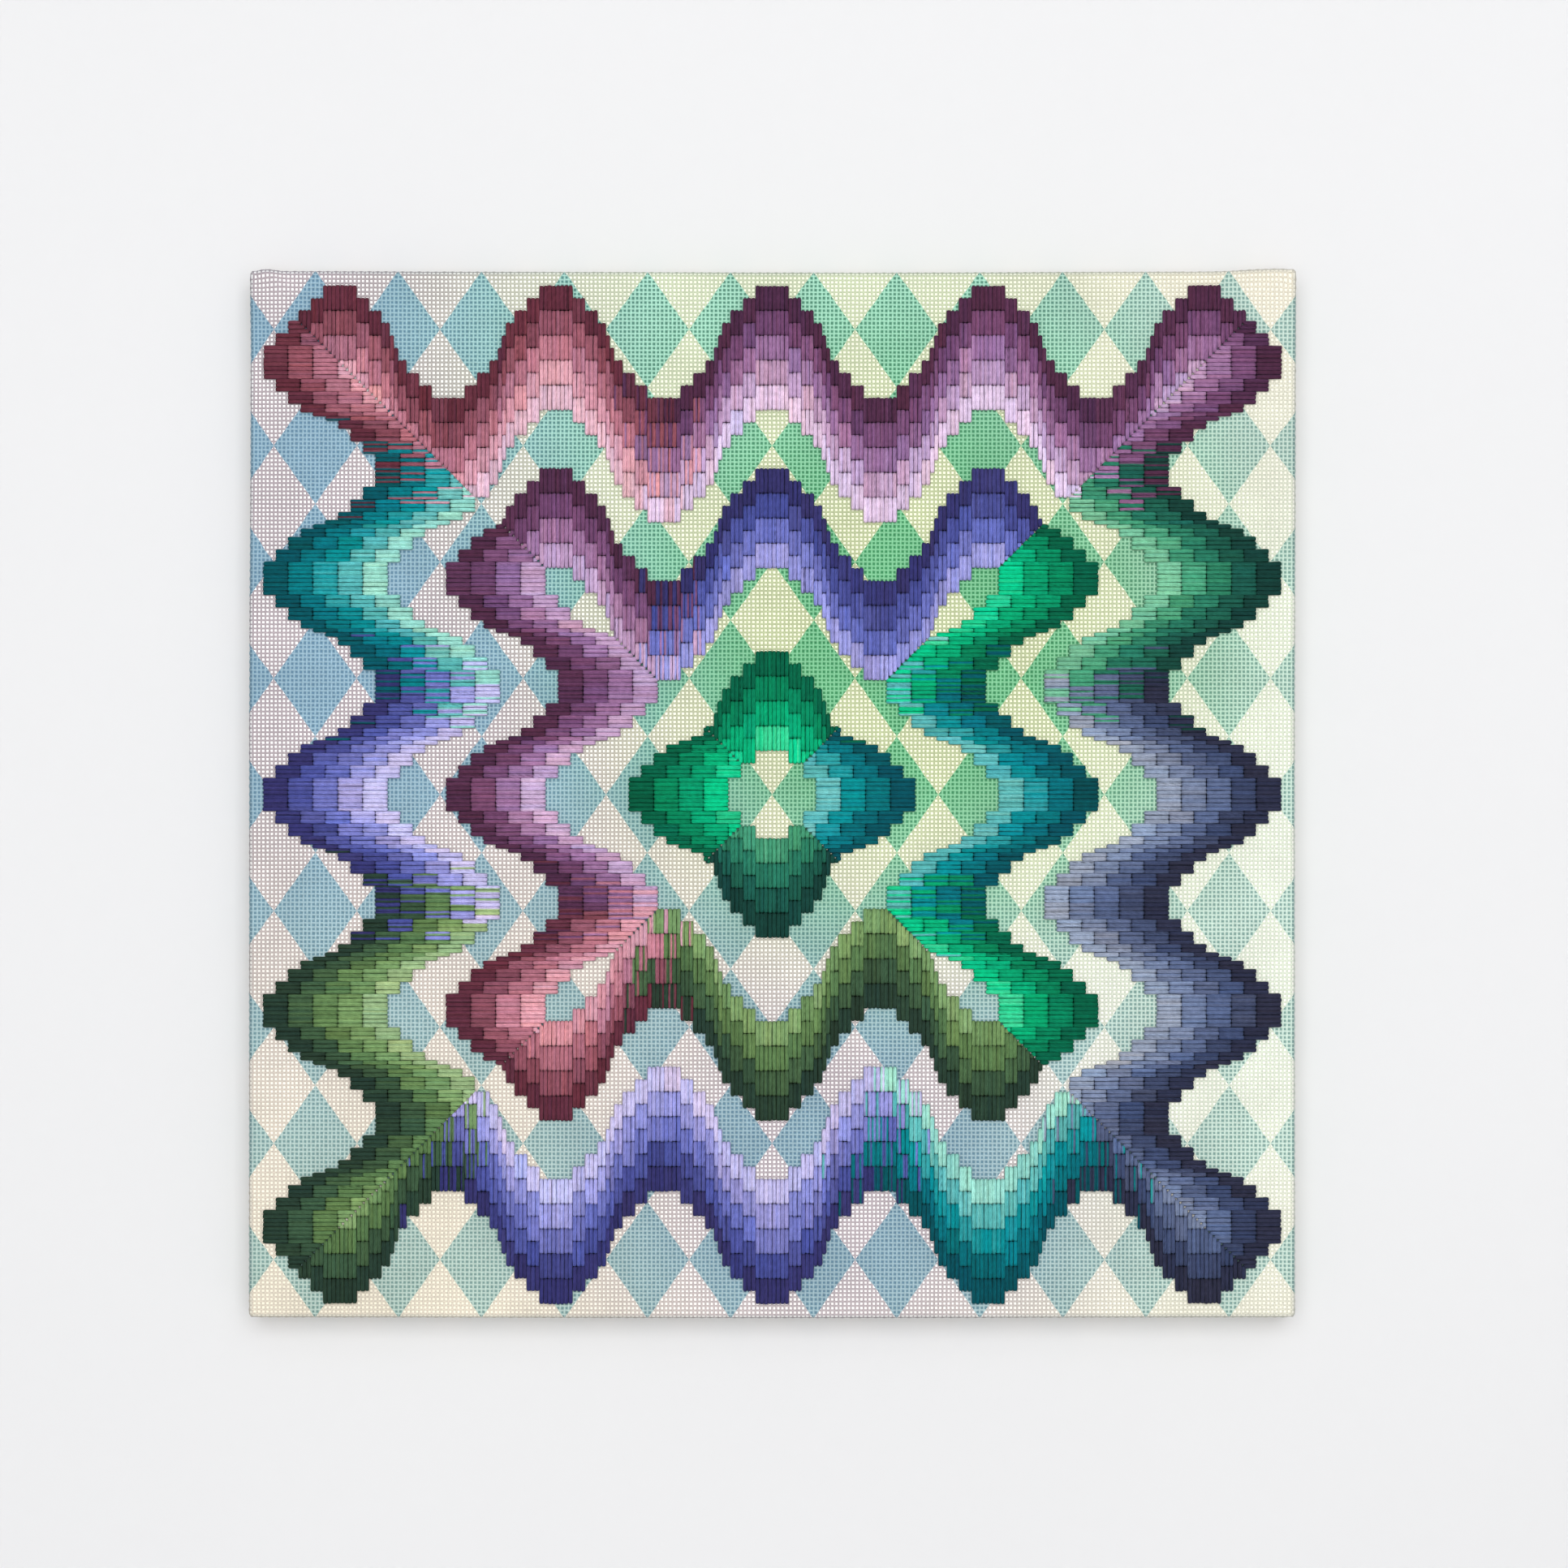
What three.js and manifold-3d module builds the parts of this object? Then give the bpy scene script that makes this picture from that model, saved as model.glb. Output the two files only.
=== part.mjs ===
// A needlepoint canvas panel: mesh canvas folded round a stretcher frame, with bands of yarn
// stitches standing on its front. Millimetres, +Z up, the front facing -Y. The origin is the
// middle of the top edge, on the plane that touches the wall.

import * as THREE from "three";
import { mergeVertices } from "three/addons/utils/BufferGeometryUtils.js";
import Module from "manifold-3d";

const wasm = await Module();
wasm.setup();

// Driving dimensions
const MESH_PER_INCH = 14;
const PITCH = 25.4 / MESH_PER_INCH;
const HALF_THREADS = 126;
const HALF = HALF_THREADS * PITCH;
const GAP = 0.3;

const CANVAS = { thick: 1.0, depth: 20.5, backReturn: 26, cornerRadius: 2.2, foldRadius: 1.1, slack: 0.7 };
const BAR = { width: 38, lipWidth: 9, slopeWidth: 4, innerDrop: 2.2 };
const YARN = { thick: 1.3, threadsPerStitch: 6, threadsPerStep: 3 };

// How far each edge of the canvas stands out from its straight line, from one corner to the
// other, clockwise as seen from the front. The top left corner has a lump of folded canvas,
// and the top right corner flares.
const EDGE_LINES = {
  top: [
    { along: -226, out: 0.5 },
    { along: -221, out: 1.2 },
    { along: -213, out: 0.3 },
    { along: -120, out: 0.0 },
    { along: 38, out: -0.4 },
    { along: 190, out: 0.1 },
    { along: 220, out: 1.4 },
    { along: 226, out: 1.3 },
  ],
  right: [
    { along: -226, out: 0.6 },
    { along: -170, out: 0.4 },
    { along: -20, out: 0.0 },
    { along: 226, out: 0.1 },
  ],
  bottom: [
    { along: -226, out: 0.0 },
    { along: 0, out: 0.4 },
    { along: 226, out: 0.0 },
  ],
  left: [
    { along: -226, out: 0.2 },
    { along: 30, out: 0.1 },
    { along: 190, out: -0.6 },
    { along: 226, out: -0.3 },
  ],
};
const SIDES = ["top", "right", "bottom", "left"];
const STEPS_BETWEEN_ROWS = 3;
const CORNER_STEPS = 4;

// The stitch chart. A wave falls one step after each block of columns, from the middle of its
// crest to the middle of its trough, and climbs back the same way.
const BLOCKS = [4, 3, 3, 2, 1, 1, 2, 3, 3, 4];
const HALF_WAVE = BLOCKS.reduce((sum, width) => sum + width, 0);
const RINGS = [
  { name: "outer", crestRow: 122, shades: 5, perSide: 4 },
  { name: "middle", crestRow: 78, shades: 4, perSide: 3 },
  { name: "centre", crestRow: 34, shades: 4, perSide: 1 },
];
// The colour family of each wave, clockwise from the one at the top left corner.
const FAMILIES = {
  outer: ["rose", "rose", "plum", "plum", "plum", "forest", "slate", "slate",
    "slate", "teal", "iris", "iris", "olive", "olive", "iris", "teal"],
  middle: ["plum", "iris", "iris", "emerald", "teal", "emerald",
    "olive", "olive", "rose", "rose", "plum", "plum"],
  centre: ["emerald", "teal", "forest", "emerald"],
};

const finish = (color, roughness) => new THREE.MeshStandardMaterial({ color, roughness, metalness: 0 });
const FINISHES = {
  canvas: finish(0xd5e2dc, 0.9),
  wood: finish(0xc9a878, 0.7),
  rose: finish(0xac6276, 0.95),
  plum: finish(0x8c5c96, 0.95),
  teal: finish(0x00868c, 0.95),
  iris: finish(0x5c68be, 0.95),
  olive: finish(0x547246, 0.95),
  emerald: finish(0x009c6a, 0.95),
  slate: finish(0x546080, 0.95),
  forest: finish(0x247058, 0.95),
};

// Solids and cuts
function solidOf(geometry) {
  const bare = geometry.clone();
  bare.deleteAttribute("normal");
  bare.deleteAttribute("uv");
  const merged = mergeVertices(bare, 1e-5);
  const vertProperties = new Float32Array(merged.attributes.position.array);
  const triVerts = new Uint32Array(merged.index.array);
  return new wasm.Manifold(new wasm.Mesh({ numProp: 3, vertProperties, triVerts }));
}

function geometryOf(solid) {
  const mesh = solid.getMesh();
  const geometry = new THREE.BufferGeometry();
  geometry.setAttribute("position", new THREE.BufferAttribute(new Float32Array(mesh.vertProperties), 3));
  geometry.setIndex(new THREE.BufferAttribute(new Uint32Array(mesh.triVerts), 1));
  return geometry;
}

function plate(points, back, front) {
  const shape = new THREE.Shape(points);
  const geometry = new THREE.ExtrudeGeometry(shape, { depth: front - back, bevelEnabled: false });
  return geometry.translate(0, 0, back);
}

function named(name, geometry, finishName) {
  const mesh = new THREE.Mesh(geometry, FINISHES[finishName].clone());
  mesh.name = name;
  return mesh;
}

// The canvas: one sheet over the front, round the four sides and in over the back
function smoothed(rows) {
  const line = [];
  for (let row = 0; row + 1 < rows.length; row += 1) {
    const [from, to] = [rows[row], rows[row + 1]];
    for (let step = 0; step < STEPS_BETWEEN_ROWS; step += 1) {
      const share = step / STEPS_BETWEEN_ROWS;
      const eased = (1 - Math.cos(Math.PI * share)) / 2;
      line.push({
        along: from.along + (to.along - from.along) * share,
        out: from.out + (to.out - from.out) * eased,
      });
    }
  }
  line.push(rows.at(-1));
  return line;
}

function canvasOutline() {
  const points = [];
  SIDES.forEach((side, turn) => {
    const next = EDGE_LINES[SIDES[(turn + 1) % SIDES.length]];
    const quarter = (-turn * Math.PI) / 2;
    const place = (along, up) => new THREE.Vector2(along, up).rotateAround(new THREE.Vector2(), quarter);
    const line = smoothed(EDGE_LINES[side]);
    line.forEach(({ along, out }) => points.push(place(along, HALF + out)));
    const centre = {
      along: HALF + next[0].out - CANVAS.cornerRadius,
      up: HALF + line.at(-1).out - CANVAS.cornerRadius,
    };
    for (let step = 1; step < CORNER_STEPS; step += 1) {
      const angle = ((1 - step / CORNER_STEPS) * Math.PI) / 2;
      points.push(place(
        centre.along + CANVAS.cornerRadius * Math.cos(angle),
        centre.up + CANVAS.cornerRadius * Math.sin(angle),
      ));
    }
  });
  return points.reverse();
}

function canvas() {
  const fold = CANVAS.foldRadius;
  const outside = new THREE.ExtrudeGeometry(new THREE.Shape(canvasOutline()), {
    depth: CANVAS.depth - 2 * fold,
    bevelEnabled: true,
    bevelThickness: fold,
    bevelSize: fold,
    bevelOffset: -fold,
    bevelSegments: 2,
  });
  outside.translate(0, 0, fold);
  const pocketHalf = HALF - CANVAS.slack - CANVAS.thick;
  const pocket = new THREE.BoxGeometry(2 * pocketHalf, 2 * pocketHalf, CANVAS.depth - 2 * CANVAS.thick);
  pocket.translate(0, 0, CANVAS.depth / 2);
  const windowHalf = HALF - CANVAS.backReturn;
  const backWindow = new THREE.BoxGeometry(2 * windowHalf, 2 * windowHalf, 4 * CANVAS.thick);
  const folded = solidOf(outside).subtract(solidOf(pocket)).subtract(solidOf(backWindow));
  return named("needlepoint_canvas", geometryOf(folded), "canvas");
}

// A stretcher bar, mitred at both ends, with a raised lip that holds the canvas off its face
function stretcherBar(side) {
  const outer = HALF - CANVAS.slack - CANVAS.thick - GAP;
  const back = CANVAS.thick + GAP;
  const front = CANVAS.depth - CANVAS.thick - GAP;
  const slopeEnd = BAR.lipWidth + BAR.slopeWidth;
  const section = new THREE.Shape([
    new THREE.Vector2(-BAR.width, back),
    new THREE.Vector2(0, back),
    new THREE.Vector2(0, front),
    new THREE.Vector2(-BAR.lipWidth, front),
    new THREE.Vector2(-slopeEnd, front - BAR.innerDrop),
    new THREE.Vector2(-BAR.width, front - BAR.innerDrop),
  ]);
  const geometry = new THREE.ExtrudeGeometry(section, { depth: 1, bevelEnabled: false });
  const mitreGap = (GAP / 2) * Math.SQRT2;
  const position = geometry.attributes.position;
  for (let i = 0; i < position.count; i += 1) {
    const inward = position.getX(i);
    const depth = position.getY(i);
    const end = position.getZ(i) > 0.5 ? 1 : -1;
    position.setXYZ(i, end * (outer + inward - mitreGap), outer + inward, depth);
  }
  return named(`stretcher_bar_${side}`, geometryOf(solidOf(geometry)), "wood");
}

// Threads that a wave has fallen at this column, counted from the middle of a side
function drop(column) {
  const along = ((column % (2 * HALF_WAVE)) + 2 * HALF_WAVE) % (2 * HALF_WAVE);
  const fromCrest = Math.min(along, 2 * HALF_WAVE - 1 - along);
  let reached = 0;
  const step = BLOCKS.findIndex((width) => {
    reached += width;
    return fromCrest < reached;
  });
  return step * YARN.threadsPerStep;
}

// The stepped outline of one wave, as points along its outer line and back along its inner one
function waveOutline(ring, first, last) {
  const outer = [];
  const inner = [];
  const bandRows = ring.shades * YARN.threadsPerStitch;
  let start = first;
  for (let column = first; column <= last; column += 1) {
    if (column < last && drop(column) === drop(start)) continue;
    const row = ring.crestRow - drop(start) + 0.5;
    const left = start * PITCH + (start === first ? GAP / 2 : 0);
    const right = column * PITCH - (column === last ? GAP / 2 : 0);
    outer.push(new THREE.Vector2(left, row * PITCH), new THREE.Vector2(right, row * PITCH));
    inner.push(
      new THREE.Vector2(left, (row - bandRows) * PITCH),
      new THREE.Vector2(right, (row - bandRows) * PITCH),
    );
    start = column;
  }
  return [...inner, ...outer.reverse()];
}

// What lies past the two mitre lines of a side, where the neighbouring sides have their stitches
function pastMitres() {
  const reach = 2 * HALF;
  const clearance = (GAP / 2) * Math.SQRT2;
  const points = [
    new THREE.Vector2(-reach, -reach),
    new THREE.Vector2(reach, -reach),
    new THREE.Vector2(reach, reach + clearance),
    new THREE.Vector2(0, clearance),
    new THREE.Vector2(-reach, reach + clearance),
  ];
  return solidOf(plate(points, 0, 2 * CANVAS.depth));
}

const MITRES = pastMitres();

function sideWaves(ring, side, turn) {
  const furthest = Math.floor(ring.perSide / 2);
  const waves = [];
  for (let wave = -furthest; wave <= furthest; wave += 1) {
    const middle = 2 * HALF_WAVE * wave;
    const outline = waveOutline(ring, middle - HALF_WAVE, middle + HALF_WAVE);
    const back = CANVAS.depth + GAP;
    const whole = solidOf(plate(outline, back, back + YARN.thick));
    const order = (turn * ring.perSide + wave + furthest) % (4 * ring.perSide);
    const name = `${ring.name}_${side}_wave_${wave + furthest + 1}`;
    waves.push(named(name, geometryOf(whole.subtract(MITRES)), FAMILIES[ring.name][order]));
  }
  return waves;
}

// Assembly: the panel is drawn facing up its own z, then stood up against the wall plane
const panel = new THREE.Group();
panel.add(canvas());
SIDES.forEach((side, turn) => {
  const quarter = new THREE.Group();
  quarter.rotation.z = (-turn * Math.PI) / 2;
  quarter.add(stretcherBar(side));
  RINGS.forEach((ring) => sideWaves(ring, side, turn).forEach((wave) => quarter.add(wave)));
  panel.add(quarter);
});
panel.rotation.x = Math.PI / 2;
panel.position.z = -HALF;

const needlepointPanel = new THREE.Group();
needlepointPanel.add(panel);

export default needlepointPanel;
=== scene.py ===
"""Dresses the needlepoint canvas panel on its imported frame.

The panel is a painted mesh canvas folded round four wooden bars, with long wool stitches in
mitred waves. Sizes are in millimetres up to the moment when to_row_frame makes them metres in
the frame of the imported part. Flat places on the canvas are measured from its centre, across to
the right and up, as on the frame where it was stitched.
"""

import logging
import math
from dataclasses import dataclass, field
from enum import Enum
from typing import Callable, NamedTuple, Sequence, Union

import bmesh
import bpy
import numpy as np
from mathutils import Matrix, Vector

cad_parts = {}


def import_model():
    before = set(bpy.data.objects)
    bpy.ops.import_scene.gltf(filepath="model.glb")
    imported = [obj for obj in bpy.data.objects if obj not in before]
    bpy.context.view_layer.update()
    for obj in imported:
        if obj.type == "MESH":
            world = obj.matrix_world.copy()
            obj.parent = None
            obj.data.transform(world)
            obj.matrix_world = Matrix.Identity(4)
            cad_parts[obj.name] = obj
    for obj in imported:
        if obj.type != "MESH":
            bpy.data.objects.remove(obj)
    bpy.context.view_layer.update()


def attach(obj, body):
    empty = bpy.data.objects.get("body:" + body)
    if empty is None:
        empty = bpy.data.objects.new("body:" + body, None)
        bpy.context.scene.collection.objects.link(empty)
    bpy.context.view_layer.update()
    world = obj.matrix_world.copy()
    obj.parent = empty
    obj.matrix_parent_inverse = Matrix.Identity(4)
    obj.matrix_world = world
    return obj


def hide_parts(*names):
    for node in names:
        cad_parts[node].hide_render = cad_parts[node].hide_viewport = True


LOG = logging.getLogger("needlepoint_panel")

MESH_PER_INCH = 14
PITCH = 25.4 / MESH_PER_INCH
HALF_THREADS = 126
HALF = HALF_THREADS * PITCH
BARE_MARGIN = 2
SEED = 1407

Colour = tuple[float, float, float]
Fed = Union[bpy.types.NodeSocket, float, Sequence[float]]


def linear(red: int, green: int, blue: int) -> Colour:
    """Gives the scene's linear colour of a screen colour.

    Args:
        red: Red from 0 to 255.
        green: Green from 0 to 255.
        blue: Blue from 0 to 255.

    Returns:
        The three linear values, from 0 to 1.
    """

    def step(value: int) -> float:
        share = value / 255
        return share / 12.92 if share <= 0.04045 else ((share + 0.055) / 1.055) ** 2.4

    return step(red), step(green), step(blue)


def to_row_frame(across: np.ndarray, up: np.ndarray, depth: np.ndarray) -> np.ndarray:
    """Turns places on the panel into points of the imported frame.

    Args:
        across: Millimetres to the right of the panel's centre.
        up: Millimetres above the panel's centre.
        depth: Millimetres in front of the wall.

    Returns:
        An array of points in metres, one row each.
    """
    return np.stack([across, -depth, up - HALF], axis=-1) / 1000


class Side(Enum):
    """The four sides of the panel, clockwise as seen from the front."""

    TOP = 0
    RIGHT = 1
    BOTTOM = 2
    LEFT = 3

    def turned(self, along: np.ndarray, up: np.ndarray) -> tuple[np.ndarray, np.ndarray]:
        """Turns a place drawn for the top side to this side.

        Args:
            along: Millimetres along the side, clockwise.
            up: Millimetres outwards from the centre.

        Returns:
            The place across and up on the panel.
        """
        if self is Side.TOP:
            return along, up
        if self is Side.RIGHT:
            return up, -along
        if self is Side.BOTTOM:
            return -along, -up
        return -up, along

    def hole(self, column: int, row: int) -> tuple[int, int]:
        """Gives the panel's own column and row of a hole that is counted on this side."""
        places = (
            (column, row),
            (row, -column - 1),
            (-column - 1, -row - 1),
            (-row - 1, column),
        )
        return places[self.value]

    def before(self) -> "Side":
        """Gives the side that comes before this one, clockwise."""
        return Side((self.value - 1) % 4)

    def after(self) -> "Side":
        """Gives the side that comes after this one, clockwise."""
        return Side((self.value + 1) % 4)


class Family(Enum):
    """The colour families of the wool."""

    ROSE = "rose"
    PLUM = "plum"
    TEAL = "teal"
    IRIS = "iris"
    OLIVE = "olive"
    EMERALD = "emerald"
    SLATE = "slate"
    FOREST = "forest"


class Grain(Enum):
    """The way that the grain of a bar runs."""

    ACROSS = "across"
    UPRIGHT = "upright"


class EdgePoint(NamedTuple):
    """How far an edge of the canvas stands out at one place along it, in millimetres."""

    along: float
    out: float


EDGE_LINES: dict[Side, tuple[EdgePoint, ...]] = {
    Side.TOP: (
        EdgePoint(-226, 0.5),
        EdgePoint(-221, 1.2),
        EdgePoint(-213, 0.3),
        EdgePoint(-120, 0.0),
        EdgePoint(38, -0.4),
        EdgePoint(190, 0.1),
        EdgePoint(220, 1.4),
        EdgePoint(226, 1.3),
    ),
    Side.RIGHT: (
        EdgePoint(-226, 0.6),
        EdgePoint(-170, 0.4),
        EdgePoint(-20, 0.0),
        EdgePoint(226, 0.1),
    ),
    Side.BOTTOM: (
        EdgePoint(-226, 0.0),
        EdgePoint(0, 0.4),
        EdgePoint(226, 0.0),
    ),
    Side.LEFT: (
        EdgePoint(-226, 0.2),
        EdgePoint(30, 0.1),
        EdgePoint(190, -0.6),
        EdgePoint(226, -0.3),
    ),
}


# Node trees


class NodeRecipe:
    """Makes one material and wires its nodes."""

    def __init__(self, name: str) -> None:
        """Starts an empty material with one shader and its output."""
        self.material = bpy.data.materials.new(name)
        self.material.use_nodes = True
        self.tree = self.material.node_tree
        self.tree.nodes.clear()
        self.output = self.add("ShaderNodeOutputMaterial")
        self.shader = self.add("ShaderNodeBsdfPrincipled")
        self.join(self.shader.outputs["BSDF"], self.output.inputs["Surface"])

    def add(self, kind: str, **settings: object) -> bpy.types.Node:
        """Adds a node and sets its properties.

        Args:
            kind: The node's type name.
            **settings: Properties of the node and their values.

        Returns:
            The new node.
        """
        node = self.tree.nodes.new(kind)
        for key, value in settings.items():
            setattr(node, key, value)
        return node

    def join(self, source: bpy.types.NodeSocket, target: bpy.types.NodeSocket) -> None:
        """Links two sockets."""
        self.tree.links.new(source, target)

    def feed(self, target: bpy.types.NodeSocket, value: Fed) -> None:
        """Links a socket, or sets its value where a number or colour is given."""
        if isinstance(value, bpy.types.NodeSocket):
            self.join(value, target)
        elif isinstance(value, (int, float)):
            target.default_value = value
        else:
            numbers = list(value)
            if target.type == "RGBA" and len(numbers) == 3:
                numbers.append(1.0)
            target.default_value = numbers

    def sum_up(self, operation: str, first: Fed, second: Fed = 0.0) -> bpy.types.NodeSocket:
        """Adds one Math node.

        Args:
            operation: The Math node's operation.
            first: The first number or socket.
            second: The second number or socket.

        Returns:
            The result's socket.
        """
        node = self.add("ShaderNodeMath", operation=operation)
        self.feed(node.inputs[0], first)
        if len(node.inputs) > 1:
            self.feed(node.inputs[1], second)
        return node.outputs[0]

    def blend(self, factor: Fed, first: Fed, second: Fed, mode: str = "MIX") -> bpy.types.NodeSocket:
        """Adds one colour Mix node.

        Args:
            factor: How much of the second colour is taken.
            first: The first colour.
            second: The second colour.
            mode: The way the two are blended.

        Returns:
            The mixed colour's socket.
        """
        node = self.add("ShaderNodeMix", data_type="RGBA", blend_type=mode)
        self.feed(node.inputs[0], factor)
        self.feed(node.inputs[6], first)
        self.feed(node.inputs[7], second)
        return node.outputs[2]

    def shaded(self, colour: Fed, light: Fed) -> bpy.types.NodeSocket:
        """Multiplies a colour by one number."""
        return self.blend(1.0, colour, self.vector_of(light, light, light), "MULTIPLY")

    def ramp_between(
        self, value: Fed, low: float, high: float, to_low: float = 0.0, to_high: float = 1.0
    ) -> bpy.types.NodeSocket:
        """Maps a value smoothly from one range to another.

        Args:
            value: The number or socket to map.
            low: Where the range starts.
            high: Where it ends.
            to_low: The result at the start.
            to_high: The result at the end.

        Returns:
            The mapped value's socket.
        """
        node = self.add("ShaderNodeMapRange", interpolation_type="SMOOTHSTEP")
        for socket, number in zip(node.inputs, (value, low, high, to_low, to_high)):
            self.feed(socket, number)
        return node.outputs[0]

    def noise(
        self, vector: Fed, scale: float, detail: float = 2.0, roughness: float = 0.5
    ) -> bpy.types.NodeSocket:
        """Adds a noise texture.

        Args:
            vector: The place that it is read at.
            scale: Its scale.
            detail: Its detail.
            roughness: Its roughness.

        Returns:
            Its grey value's socket.
        """
        node = self.add("ShaderNodeTexNoise")
        self.feed(node.inputs["Vector"], vector)
        node.inputs["Scale"].default_value = scale
        node.inputs["Detail"].default_value = detail
        node.inputs["Roughness"].default_value = roughness
        return node.outputs[0]

    def own_map(self, name: str) -> bpy.types.NodeSocket:
        """Gives the coordinates of one of the piece's own UV maps."""
        return self.add("ShaderNodeUVMap", uv_map=name).outputs[0]

    def object_place(self) -> bpy.types.NodeSocket:
        """Gives the place on the object, in metres."""
        return self.add("ShaderNodeTexCoord").outputs["Object"]

    def parts_of(self, vector: Fed) -> tuple[bpy.types.NodeSocket, ...]:
        """Splits a vector into its three numbers."""
        node = self.add("ShaderNodeSeparateXYZ")
        self.feed(node.inputs[0], vector)
        return tuple(node.outputs)

    def vector_of(self, first: Fed, second: Fed, third: Fed = 0.0) -> bpy.types.NodeSocket:
        """Makes a vector of three numbers."""
        node = self.add("ShaderNodeCombineXYZ")
        for socket, value in zip(node.inputs, (first, second, third)):
            self.feed(socket, value)
        return node.outputs[0]

    def relief(self, height: Fed, distance: float, strength: float = 1.0) -> None:
        """Gives the shader a bump of this height, with distance in metres."""
        node = self.add("ShaderNodeBump")
        node.inputs["Strength"].default_value = strength
        node.inputs["Distance"].default_value = distance
        self.feed(node.inputs["Height"], height)
        self.join(node.outputs[0], self.shader.inputs["Normal"])

    def surface(self, colour: Fed, roughness: Fed, **sockets: Fed) -> bpy.types.Material:
        """Sets the shader's colour, roughness and other sockets.

        Args:
            colour: The base colour.
            roughness: The roughness.
            **sockets: Other sockets, with underscores for the spaces in their names.

        Returns:
            The finished material.
        """
        self.feed(self.shader.inputs["Base Color"], colour)
        self.feed(self.shader.inputs["Roughness"], roughness)
        for key, value in sockets.items():
            self.feed(self.shader.inputs[key.replace("_", " ")], value)
        return self.material


# Finishes


BAKE_MAP = "OFBake"
PLY_MAP = "ply_lay"
# The point colour attribute: the wool's dye with painted shade, and on the threads their painted shade.
SHADE = "wool_shade"
MAP_SPAN = 560.0
FAR_THREAD = -400.0


@dataclass(frozen=True)
class PaintRegion:
    """One soft-edged region of the painted ground, with its two tones on holes and threads.

    The place and reach are shares of half the panel, and the colours are screen colours.
    """

    name: str
    place: tuple[float, float]
    reach: tuple[float, float]
    pale_hole: tuple[int, int, int]
    pale_thread: tuple[int, int, int]
    tone_hole: tuple[int, int, int]
    tone_thread: tuple[int, int, int]


PAINT_REGIONS: tuple[PaintRegion, ...] = (
    PaintRegion(
        "cream", (0.0, 0.0), (9.0, 9.0),
        (248, 241, 222), (224, 214, 196), (118, 150, 144), (190, 212, 202),
    ),
    PaintRegion(
        "pale mint", (0.95, -0.1), (1.35, 0.35),
        (252, 251, 240), (222, 230, 212), (124, 158, 150), (208, 230, 218),
    ),
    PaintRegion(
        "blue", (-0.95, 0.75), (1.75, 0.55),
        (255, 253, 253), (180, 168, 174), (98, 134, 158), (156, 188, 206),
    ),
    PaintRegion(
        "lower blue", (0.12, -0.72), (0.75, 0.15),
        (255, 252, 252), (188, 176, 182), (98, 132, 152), (160, 188, 200),
    ),
    PaintRegion(
        "fresh mint", (0.05, 0.85), (0.95, 0.2),
        (250, 255, 232), (202, 212, 182), (84, 136, 118), (174, 226, 204),
    ),
    PaintRegion(
        "green", (0.28, 0.3), (0.85, 0.2),
        (251, 255, 226), (192, 202, 158), (60, 138, 90), (134, 206, 156),
    ),
)


def thread_place(recipe: NodeRecipe, middle: float) -> tuple[bpy.types.NodeSocket, ...]:
    """Gives the place on the flat canvas, across and up, in threads.

    Args:
        recipe: The material being made.
        middle: The value of the canvas's map that counts as 0.

    Returns:
        The two sockets.
    """
    across, up, _ = recipe.parts_of(recipe.own_map(BAKE_MAP))
    scale = MAP_SPAN / PITCH
    return tuple(
        recipe.sum_up("MULTIPLY", recipe.sum_up("SUBTRACT", way, middle), scale) for way in (across, up)
    )


def from_thread(recipe: NodeRecipe, x: Fed, z: Fed, start: float) -> bpy.types.NodeSocket:
    """Gives how far a place is from the nearest thread, in threads.

    Args:
        recipe: The material being made.
        x: The place across, in threads.
        z: The place up, in threads.
        start: The place of one thread, left of and below all that shows.

    Returns:
        A socket that is 0 on a thread and 0.5 in the middle of a hole.
    """
    ways = [recipe.sum_up("PINGPONG", recipe.sum_up("SUBTRACT", way, start), 0.5) for way in (x, z)]
    return recipe.sum_up("MINIMUM", *ways)


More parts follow.
